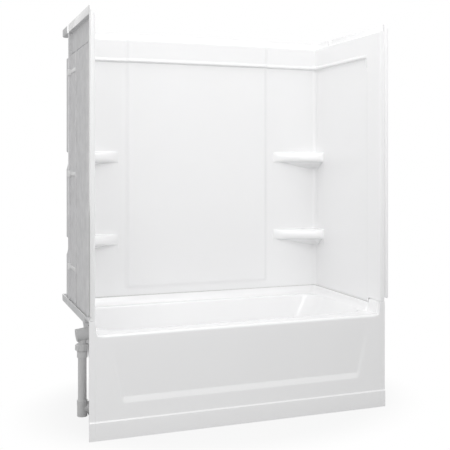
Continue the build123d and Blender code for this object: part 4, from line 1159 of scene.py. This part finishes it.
plates = [plate_across_x("front_flange", flange_outline(), (FLANGE_X, STUD_X)),
          plate_across_x("top_flange", top_flange_outline(), (FLANGE_X, STUD_X))]
rib_x = (PANEL_X + SHELL - 0.5, PANEL_X + SHELL + OUTER_RIB_PROUD)
plates.append(block_mesh("outer_rib", rib_x, (OUTER_RIB_Y - OUTER_RIB_T, OUTER_RIB_Y), (WALL_FOOT_Z, BAND_Z)))
for plate in plates:
    give(soften(plate, 1.2), WHITE, BARE_WITH_PAINTED_SHADE)
for face in plates[-1].data.polygons:
    face.material_index = 1
join_into(right_shell, *plates)
smooth(right_shell)
report(right_shell)


def mirrored(piece, name):
    """A copy of a piece on the other side of the unit, with its faces turned outwards again."""
    mesh = piece.data.copy()
    mesh.name = name
    mesh.transform(Matrix.Scale(-1, 4, (1, 0, 0)))
    mesh.flip_normals()
    return new_object(name, mesh)


left_shell = mirrored(right_shell, "left_end_wall_shell")
give(left_shell, WHITE, BARE_WITH_PAINTED_SHADE)
smooth(left_shell)
print("mirrored", left_shell.name)

# %% [markdown]
# The basin has one more hole, for the overflow. It is drilled square to the leaning end wall, so it
# is a Boolean cut with a drum whose axis leans the same way.

# %% Overflow hole
OVERFLOW_Z = RIM_Z - 64.0
LEFT_LEAN = (FLOOR[0] - OPENING[0]) / (RIM_Z - FLOOR_Z)
OVERFLOW_X = OPENING[0] - SHELL + (RIM_Z - OVERFLOW_Z) * LEFT_LEAN
OVERFLOW_HOLE_R = 32.0
WASTE_Y = DRAIN[1]


def overflow_frame():
    """Matrix whose +Z points out through the leaning end wall, with its origin at the overflow."""
    outwards = Vector((-1, 0, -LEFT_LEAN)).normalized()
    turn = outwards.to_track_quat("Z", "Y").to_matrix().to_4x4()
    return Matrix.Translation(Vector((OVERFLOW_X, WASTE_Y, OVERFLOW_Z)) * MM) @ turn


def lathe(name, outline, place, steps=64):
    """A closed outline of (radius, height) points in millimetres, turned round +Z and then placed."""
    shape = bmesh.new()
    rings = []
    for radius, height in outline:
        if radius < 0.001:
            rings.append([shape.verts.new((0, 0, height * MM))] * steps)
            continue
        angles = [2 * pi * step / steps for step in range(steps)]
        rings.append([shape.verts.new(Vector((radius * cos(a), radius * sin(a), height)) * MM) for a in angles])
    for ring_a, ring_b in zip(rings, rings[1:] + rings[:1]):
        for step in range(steps):
            after = (step + 1) % steps
            corners = [ring_a[step], ring_a[after], ring_b[after], ring_b[step]]
            corners = list(dict.fromkeys(corners))
            if len(corners) > 2:
                shape.faces.new(corners)
    bmesh.ops.recalc_face_normals(shape, faces=shape.faces)
    shape.transform(place)
    mesh = bpy.data.meshes.new(name)
    shape.to_mesh(mesh)
    shape.free()
    return new_object(name, mesh)


def cut_away(piece, tool):
    """Boolean cut, with the tool thrown away after it."""
    cut = piece.modifiers.new("cut", "BOOLEAN")
    cut.operation = "DIFFERENCE"
    cut.solver = "EXACT"
    cut.object = tool
    apply_modifiers(piece)
    bpy.data.objects.remove(tool)
    return piece


drum = lathe("drum", [(0, -20), (OVERFLOW_HOLE_R, -20), (OVERFLOW_HOLE_R, 20), (0, 20)], overflow_frame())
cut_away(tub_shell, drum)
smooth(tub_shell, radians(72))
report(tub_shell)

# %% [markdown]
# The foam seals lie on the tub's ledge under the walls. Pressed foam bulges at its sides, so the
# section is a flat strip with round edges, carried along the same plan as the wall above it.

# %% Foam seals
SEAL_WIDTH = 9.0
SEAL_T = WALL_FOOT_Z - LEDGE_Z


def seal_section():
    """Outline of the pressed foam: (offset from the wall's face, height above the ledge)."""
    half = SEAL_T / 2
    outline = []
    for middle, start in ((SEAL_WIDTH - half, -pi / 2), (half, pi / 2)):
        for angle in np.linspace(start, start + pi, 7):
            outline.append((middle + half * cos(angle), half + half * sin(angle)))
    return outline


def strip(name, path):
    """The seal's section carried along a path of (x, y, outward x, outward y)."""
    shape = bmesh.new()
    rings = []
    for x, y, out_x, out_y in path:
        ring_points = [(x + out_x * out, y + out_y * out, LEDGE_Z + up) for out, up in seal_section()]
        rings.append([shape.verts.new(Vector(point) * MM) for point in ring_points])
    count = len(rings[0])
    for ring_a, ring_b in zip(rings, rings[1:]):
        for step in range(count):
            after = (step + 1) % count
            shape.faces.new((ring_a[step], ring_a[after], ring_b[after], ring_b[step]))
    shape.faces.new(rings[0])
    shape.faces.new(rings[-1])
    bmesh.ops.recalc_face_normals(shape, faces=shape.faces)
    mesh = bpy.data.meshes.new(name)
    shape.to_mesh(mesh)
    shape.free()
    return smooth(give(new_object(name, mesh), FOAM))


side_path = [(PANEL_X, y, 1, 0) for y in spread((EAR_JOINT_Y, 24), (SEAM_Y, 1))]
seals = {"back_wall_seal": strip("back_seal", wall_plan),
         "right_wall_seal": strip("right_seal", side_path),
         "left_wall_seal": strip("left_seal", [(-x, y, -out_x, out_y) for x, y, out_x, out_y in side_path])}
for piece in seals.values():
    report(piece)

# %% [markdown]
# The levelling pad is stiff foam, bonded under the basin floor and cut by channels where it meets
# the house's floor. Its skin is a little uneven, as foam is when it sets, so the block is divided
# finely and its sides are pushed in here and there by a smooth wave.

# %% Levelling pad
pad_low, pad_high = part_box("levelling_pad")
PAD_CHANNELS = 3
PAD_CHANNEL_WIDTH = 40.0
PAD_CHANNEL_DEPTH = 30.0


def pad_outline():
    """Section of the pad along its length: (x, z)."""
    left, right, top = pad_low.x / MM, pad_high.x / MM, pad_high.z / MM
    step = (right - left) / PAD_CHANNELS
    outline = [(left, top), (left, 0)]
    for count in range(PAD_CHANNELS):
        middle = left + step * (count + 0.5)
        near, far = middle - PAD_CHANNEL_WIDTH / 2, middle + PAD_CHANNEL_WIDTH / 2
        outline += [(near, 0), (near, PAD_CHANNEL_DEPTH), (far, PAD_CHANNEL_DEPTH), (far, 0)]
    return outline + [(right, 0), (right, top)]


def levelling_pad():
    """The outline pushed through the pad's depth, softened, divided and made uneven."""
    shape = bmesh.new()
    near = [shape.verts.new(Vector((x, pad_low.y / MM, z)) * MM) for x, z in pad_outline()]
    face = shape.faces.new(near)
    pushed = bmesh.ops.extrude_face_region(shape, geom=[face])
    far = [item for item in pushed["geom"] if isinstance(item, bmesh.types.BMVert)]
    bmesh.ops.translate(shape, verts=far, vec=(0, pad_high.y - pad_low.y, 0))
    bmesh.ops.recalc_face_normals(shape, faces=shape.faces)
    mesh = bpy.data.meshes.new("pad")
    shape.to_mesh(mesh)
    shape.free()
    piece = soften(new_object("pad", mesh), 6)
    cells = piece.modifiers.new("cells", "REMESH")
    cells.mode = "VOXEL"
    cells.voxel_size = 8 * MM
    apply_modifiers(piece)
    for vert in piece.data.vertices:
        x, y, z = vert.co / MM
        wave = sin(x / 23) * sin(z / 17 + x / 41) + sin(y / 19 + x / 37) * 0.6
        inwards = Vector((0, -vert.normal.y, 0)) * (0.8 + 0.5 * wave)
        if 3 < z < pad_high.z / MM - 3:
            vert.co += inwards * MM
    for axis in range(3):
        for vert in piece.data.vertices:
            vert.co[axis] = min(max(vert.co[axis], pad_low[axis]), pad_high[axis])
    return smooth(give(piece, PAD))


pad = levelling_pad()
report(pad)

# %% [markdown]
# Six clips hold the walls together at the seams. A clip's head grips both seam lips, and its arm
# lies flat on the end wall and reaches forward to the outer rib. The head is a U-shaped outline
# pushed upwards, the arm a plain plate, and all edges are rounded as on a moulding.

# %% Clips
CLIP_LEVELS = {"upper": BAND_Z - 84.0, "lower": LEDGE_Z + 199.0}
CLIP_LEVELS["middle"] = sum(CLIP_LEVELS.values()) / 2 - 22.0
SHELL_X = PANEL_X + SHELL
GRIP = SHELL + 0.2
CLIP_WALL = 6.0
CLIP_FLOOR = 2.4
CLIP_HEAD_TALL = 32.0
CLIP_ARM_TALL = 18.0
CLIP_ARM_T = 4.0
CLIP_RIB = 5.0


def clip_piece(name, side, level):
    """One clip; side is 1 on the right and -1 on the left."""
    slot_end = SEAM_LIP_X + 0.2
    far_x = slot_end + CLIP_FLOOR
    wide = GRIP + CLIP_WALL
    outline = [(SHELL_X, -wide), (far_x, -wide), (far_x, wide), (SHELL_X, wide),
               (SHELL_X, GRIP), (slot_end, GRIP), (slot_end, -GRIP), (SHELL_X, -GRIP)]
    shape = bmesh.new()
    foot = level - CLIP_HEAD_TALL / 2
    face = shape.faces.new([shape.verts.new(Vector((x, SEAM_Y + y, foot)) * MM) for x, y in outline])
    pushed = bmesh.ops.extrude_face_region(shape, geom=[face])
    upper = [item for item in pushed["geom"] if isinstance(item, bmesh.types.BMVert)]
    bmesh.ops.translate(shape, verts=upper, vec=(0, 0, CLIP_HEAD_TALL * MM))
    bmesh.ops.recalc_face_normals(shape, faces=shape.faces)
    mesh = bpy.data.meshes.new(name)
    shape.to_mesh(mesh)
    shape.free()
    piece = new_object(name, mesh)
    arm_y = (OUTER_RIB_Y + 0.2, SEAM_Y - GRIP - 0.5)
    add_blocks(piece, [((SHELL_X, SHELL_X + CLIP_ARM_T), arm_y, (level - CLIP_ARM_TALL / 2, level + CLIP_ARM_TALL / 2))])
    soften(piece, 1.2)
    if side < 0:
        piece.data.transform(Matrix.Scale(-1, 4, (1, 0, 0)))
        piece.data.flip_normals()
    return smooth(give(piece, CLIP))


clips = {}
for side_name, side in (("left", -1), ("right", 1)):
    for level_name, level in CLIP_LEVELS.items():
        node = f"{side_name}_clip_{level_name}"
        clips[node] = clip_piece(f"{node}_moulding", side, level)
print(len(clips), "clips")

# %% [markdown]
# The slip nuts are turned shapes with eight lugs for the fingers. The body is a lathe outline. The
# lugs go round it by the circle tree, so their count and radius are inputs of the tree.

# %% Slip nuts
NUT_R = 32.5
NUT_BORE_R = 24.15
NUT_LIP = 5.0
NUT_LUGS = 8
NUT_LUG_R = 3.0
EDGE = 1.2                      # chamfer on the nuts' edges


def slip_nut(name, hole_r, length, place):
    """Nut body with its lugs, along +Z from the threaded end to the lip."""
    outline = [(NUT_BORE_R + EDGE, 0), (NUT_R - EDGE, 0), (NUT_R, EDGE), (NUT_R, length - 3 * EDGE),
               (NUT_R - 3 * EDGE, length), (hole_r + EDGE, length), (hole_r, length - EDGE),
               (hole_r, length - NUT_LIP), (NUT_BORE_R, length - NUT_LIP), (NUT_BORE_R, EDGE)]
    body = lathe(name, outline, Matrix.Identity(4), 96)
    lug_outline = [(0, 1), (NUT_LUG_R - 0.6, 1), (NUT_LUG_R, 1.8), (NUT_LUG_R, length - 4), (NUT_LUG_R - 1.6, length - 1.5),
                   (0, length - 1)]
    lug = lathe(f"{name}_lug", lug_outline, Matrix.Identity(4), 20)
    mesh = lug.data
    bpy.data.objects.remove(lug)
    lugs = repeated(f"{name}_lugs", mesh, ROUND_CIRCLE, NUT_LUGS, NUT_R * MM, PIPE)
    give(body, PIPE)
    join_into(body, lugs)
    body.data.transform(place)
    return smooth(body)


def along(axis, x, y, z):
    """Matrix that sets +Z along an axis at a place in millimetres."""
    turn = Vector(axis).to_track_quat("Z", "Y").to_matrix().to_4x4()
    return Matrix.Translation(Vector((x, y, z)) * MM) @ turn


nut_low, nut_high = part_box("overflow_slip_nut")
arm_low, arm_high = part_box("arm_slip_nut")
tube_low, tube_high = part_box("overflow_tube")
arm_pipe_low, arm_pipe_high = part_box("waste_arm")
PIPE_X = (tube_low.x + tube_high.x) / 2 / MM
ARM_Z = (arm_pipe_low.z + arm_pipe_high.z) / 2 / MM
nuts = {"overflow_slip_nut": slip_nut("upper_nut", 19.85, (nut_high.z - nut_low.z) / MM,
                                      along((0, 0, 1), PIPE_X, WASTE_Y, nut_low.z / MM)),
        "arm_slip_nut": slip_nut("arm_nut", 21.15, (arm_high.x - arm_low.x) / MM,
                                 along((1, 0, 0), arm_low.x / MM, WASTE_Y, ARM_Z))}
for piece in nuts.values():
    report(piece)

# %% [markdown]
# Rubber rings sit where water could leak: behind the overflow, under the drain and under the stopper.
# The two under the drain and under the stopper are small lathe outlines with cut edges; the one
# behind the overflow keeps its imported shape. The stopper's cap is turned too, with a low dome.

# %% Rubber rings and stopper cap
def ring_outline(inner, outer, low, high, edge=0.6):
    """Section of a flat ring with cut edges."""
    return [(inner, low + edge), (inner + edge, low), (outer - edge, low), (outer, low + edge),
            (outer, high - edge), (outer - edge, high), (inner + edge, high), (inner, high - edge)]


def upright_ring(name, node, inner, edge=0.6):
    """A ring that fills its node's box, round an upright axis."""
    low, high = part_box(node)
    middle = (low + high) / 2 / MM
    outer = (high.x - low.x) / 2 / MM
    outline = ring_outline(inner, outer, low.z / MM, high.z / MM, edge)
    return smooth(lathe(name, outline, Matrix.Translation(Vector((middle.x, middle.y, 0)) * MM), 72))


STEM_R = 6.5
cap_low, cap_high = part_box("stopper_cap")
rings = {"shoe_gasket": upright_ring("shoe_ring", "shoe_gasket", DRAIN_HOLE_R),
         "stopper_seal": upright_ring("seal_ring", "stopper_seal", STEM_R + 0.15)}
for piece in rings.values():
    give(piece, RUBBER)


def stopper_cap():
    """Domed cap with a rolled edge and a flat underside."""
    radius = (cap_high.x - cap_low.x) / 2 / MM
    low, high = cap_low.z / MM, cap_high.z / MM
    edge_top = low + 3.0
    outline = [(0, low), (radius - 1.0, low), (radius - 0.3, low + 0.4), (radius, low + 1.2)]
    for angle in np.linspace(0, pi / 2, 6):
        outline.append((radius - 1.6 + 1.6 * cos(angle), edge_top - 1.4 + 1.4 * sin(angle)))
    for share in np.linspace(0.92, 0, 14):
        outline.append((radius * share, edge_top + (high - edge_top) * (1 - share ** 2)))
    return smooth(give(lathe("cap_dome", outline, Matrix.Translation(Vector((*DRAIN, 0)) * MM), 96), CHROME))


cap = stopper_cap()
report(cap)

# %% [markdown]
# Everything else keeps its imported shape, which is already right: pipes, tee, shoe, plate and
# screws. These only get their finishes.

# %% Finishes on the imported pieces
KEPT = {PIPE: ("overflow_elbow", "overflow_coupling", "overflow_tube", "waste_tee", "waste_arm", "waste_shoe"),
        WASHER: ("overflow_slip_washer", "arm_slip_washer"),
        RUBBER: ("overflow_gasket",),
        CHROME: ("overflow_faceplate", "overflow_screws", "drain_flange"),
        BRASS: ("stopper_post", "stopper_stem")}
kept_count = 0
for finish, names in KEPT.items():
    for name in names:
        give(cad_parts[name], finish)
        kept_count += 1
print(kept_count, "packed pieces finished")

# %% [markdown]
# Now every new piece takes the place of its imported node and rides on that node's body.

# %% Places and bodies
REPLACED = {"bathtub": (tub_shell, "white_composite"), "back_wall": (back_shell, "white_composite"),
            "right_end_wall": (right_shell, "white_composite"), "left_end_wall": (left_shell, "white_composite"),
            "levelling_pad": (pad, "levelling_foam"), "stopper_cap": (cap, "chrome_trim")}
REPLACED.update({node: (piece, "foam_seal") for node, piece in seals.items()})
REPLACED.update({node: (piece, "clip_plastic") for node, piece in clips.items()})
REPLACED.update({node: (piece, "white_pipe") for node, piece in nuts.items()})
REPLACED.update({node: (piece, "black_rubber") for node, piece in rings.items()})
for node, (piece, slot) in REPLACED.items():
    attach(piece, "stopper" if node.startswith("stopper") else "unit")
    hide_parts(node)
print(len(REPLACED), "nodes replaced")

# %% [markdown]
# The stage is a white studio. The floor near the unit takes real light and shadow. Further out it
# turns to plain white, so no horizon shows. The world is white to the camera and in reflections,
# and dimmer as a light, so the white object doesn't burn out.

# %% Floor
def studio_floor():
    """A wide floor whose material fades from lit to plain white."""
    mesh = bpy.data.meshes.new("floor")
    reach = 14.0
    mesh.from_pydata([(-reach, -reach, 0), (reach, -reach, 0), (reach, reach, 0), (-reach, reach, 0)], [], [(0, 1, 2, 3)])
    floor = new_object("floor", mesh)
    material = bpy.data.materials.new("studio floor")
    material.use_nodes = True
    tree = material.node_tree
    tree.nodes.clear()
    output = tree.nodes.new("ShaderNodeOutputMaterial")
    lit = tree.nodes.new("ShaderNodeBsdfDiffuse")
    lit.inputs["Color"].default_value = (0.48, 0.48, 0.48, 1)
    glow = tree.nodes.new("ShaderNodeEmission")
    ray = tree.nodes.new("ShaderNodeLightPath")
    mix = tree.nodes.new("ShaderNodeMixShader")
    seen = tree.nodes.new("ShaderNodeMath")
    seen.operation = "MULTIPLY"
    fade = tree.nodes.new("ShaderNodeMapRange")
    fade.interpolation_type = "SMOOTHSTEP"
    place = tree.nodes.new("ShaderNodeTexCoord")
    stretch = tree.nodes.new("ShaderNodeMapping")
    stretch.inputs["Scale"].default_value = (1, 1.3, 1)
    far = tree.nodes.new("ShaderNodeVectorMath")
    far.operation = "LENGTH"
    fade.inputs["From Min"].default_value = 0.75
    fade.inputs["From Max"].default_value = 1.15
    fade.inputs["To Min"].default_value = 0.88
    tree.links.new(place.outputs["Object"], stretch.inputs["Vector"])
    tree.links.new(stretch.outputs["Vector"], far.inputs[0])
    tree.links.new(far.outputs["Value"], fade.inputs["Value"])
    tree.links.new(fade.outputs["Result"], seen.inputs[0])
    tree.links.new(ray.outputs["Is Camera Ray"], seen.inputs[1])
    tree.links.new(seen.outputs["Value"], mix.inputs["Fac"])
    tree.links.new(lit.outputs["BSDF"], mix.inputs[1])
    tree.links.new(glow.outputs["Emission"], mix.inputs[2])
    tree.links.new(mix.outputs["Shader"], output.inputs["Surface"])
    give(floor, material)
    return floor


floor = studio_floor()
print("floor", floor.name)

# %% World and lamps
WORLD_LIGHT = 0.73


def studio_world():
    """White where it is seen or reflected, dimmer where it lights."""
    world = bpy.data.worlds.new("studio")
    world.use_nodes = True
    tree = world.node_tree
    back = tree.nodes["Background"]
    back.inputs["Color"].default_value = (1, 1, 1, 1)
    ray = tree.nodes.new("ShaderNodeLightPath")
    shown = tree.nodes.new("ShaderNodeMath")
    shown.operation = "MAXIMUM"
    either = tree.nodes.new("ShaderNodeMath")
    either.operation = "MAXIMUM"
    strength = tree.nodes.new("ShaderNodeMapRange")
    strength.inputs["To Min"].default_value = WORLD_LIGHT
    tree.links.new(ray.outputs["Is Camera Ray"], shown.inputs[0])
    tree.links.new(ray.outputs["Is Glossy Ray"], shown.inputs[1])
    tree.links.new(shown.outputs["Value"], either.inputs[0])
    tree.links.new(ray.outputs["Is Transmission Ray"], either.inputs[1])
    tree.links.new(either.outputs["Value"], strength.inputs["Value"])
    tree.links.new(strength.outputs["Result"], back.inputs["Strength"])
    bpy.context.scene.world = world


def soft_lamp(name, power, size, place, target):
    """A rectangular lamp of some width and height that looks at a point."""
    lamp = bpy.data.objects.new(name, bpy.data.lights.new(name, "AREA"))
    lamp.data.energy = power
    lamp.data.shape = "RECTANGLE"
    lamp.data.size, lamp.data.size_y = size
    lamp.location = place
    lamp.rotation_euler = (Vector(target) - Vector(place)).to_track_quat("-Z", "Y").to_euler()
    bpy.context.scene.collection.objects.link(lamp)
    return lamp


studio_world()
soft_lamp("overhead lamp", 14.5, (1.8, 1.4), (0.1, 0.0, 3.6), (0.1, 0.0, 0.9))
soft_lamp("high front lamp", 20, (1.6, 1.2), (-0.3, -2.2, 3.4), (0.3, 0.3, 1.2))
soft_lamp("side lamp", 8, (1.0, 1.6), (-1.9, -2.6, 1.8), (0.3, 0.0, 1.0))
soft_lamp("thin strip", 4.5, (0.22, 2.2), (-0.3, -3.3, 1.6), (0.2, 0.0, 1.0))
print("world light", WORLD_LIGHT)

# %% [markdown]
# The camera stands where the photographer's stood, which was worked out from the corners of the
# unit. It looks level and the frame is shifted up a little instead, so upright edges stay upright.

# %% Camera
CAMERA_PLACE = (-1.4302, -3.9443, 1.2639)
CAMERA_TURN = -0.3531
camera = bpy.data.objects.new("camera", bpy.data.cameras.new("camera"))
bpy.context.scene.collection.objects.link(camera)
camera.location = CAMERA_PLACE
camera.rotation_euler = (pi / 2, 0, CAMERA_TURN)
camera.data.lens = 64.0
camera.data.shift_y = -0.1446
bpy.context.scene.camera = camera
bpy.context.scene.view_settings.view_transform = "Standard"
print("camera", CAMERA_PLACE)
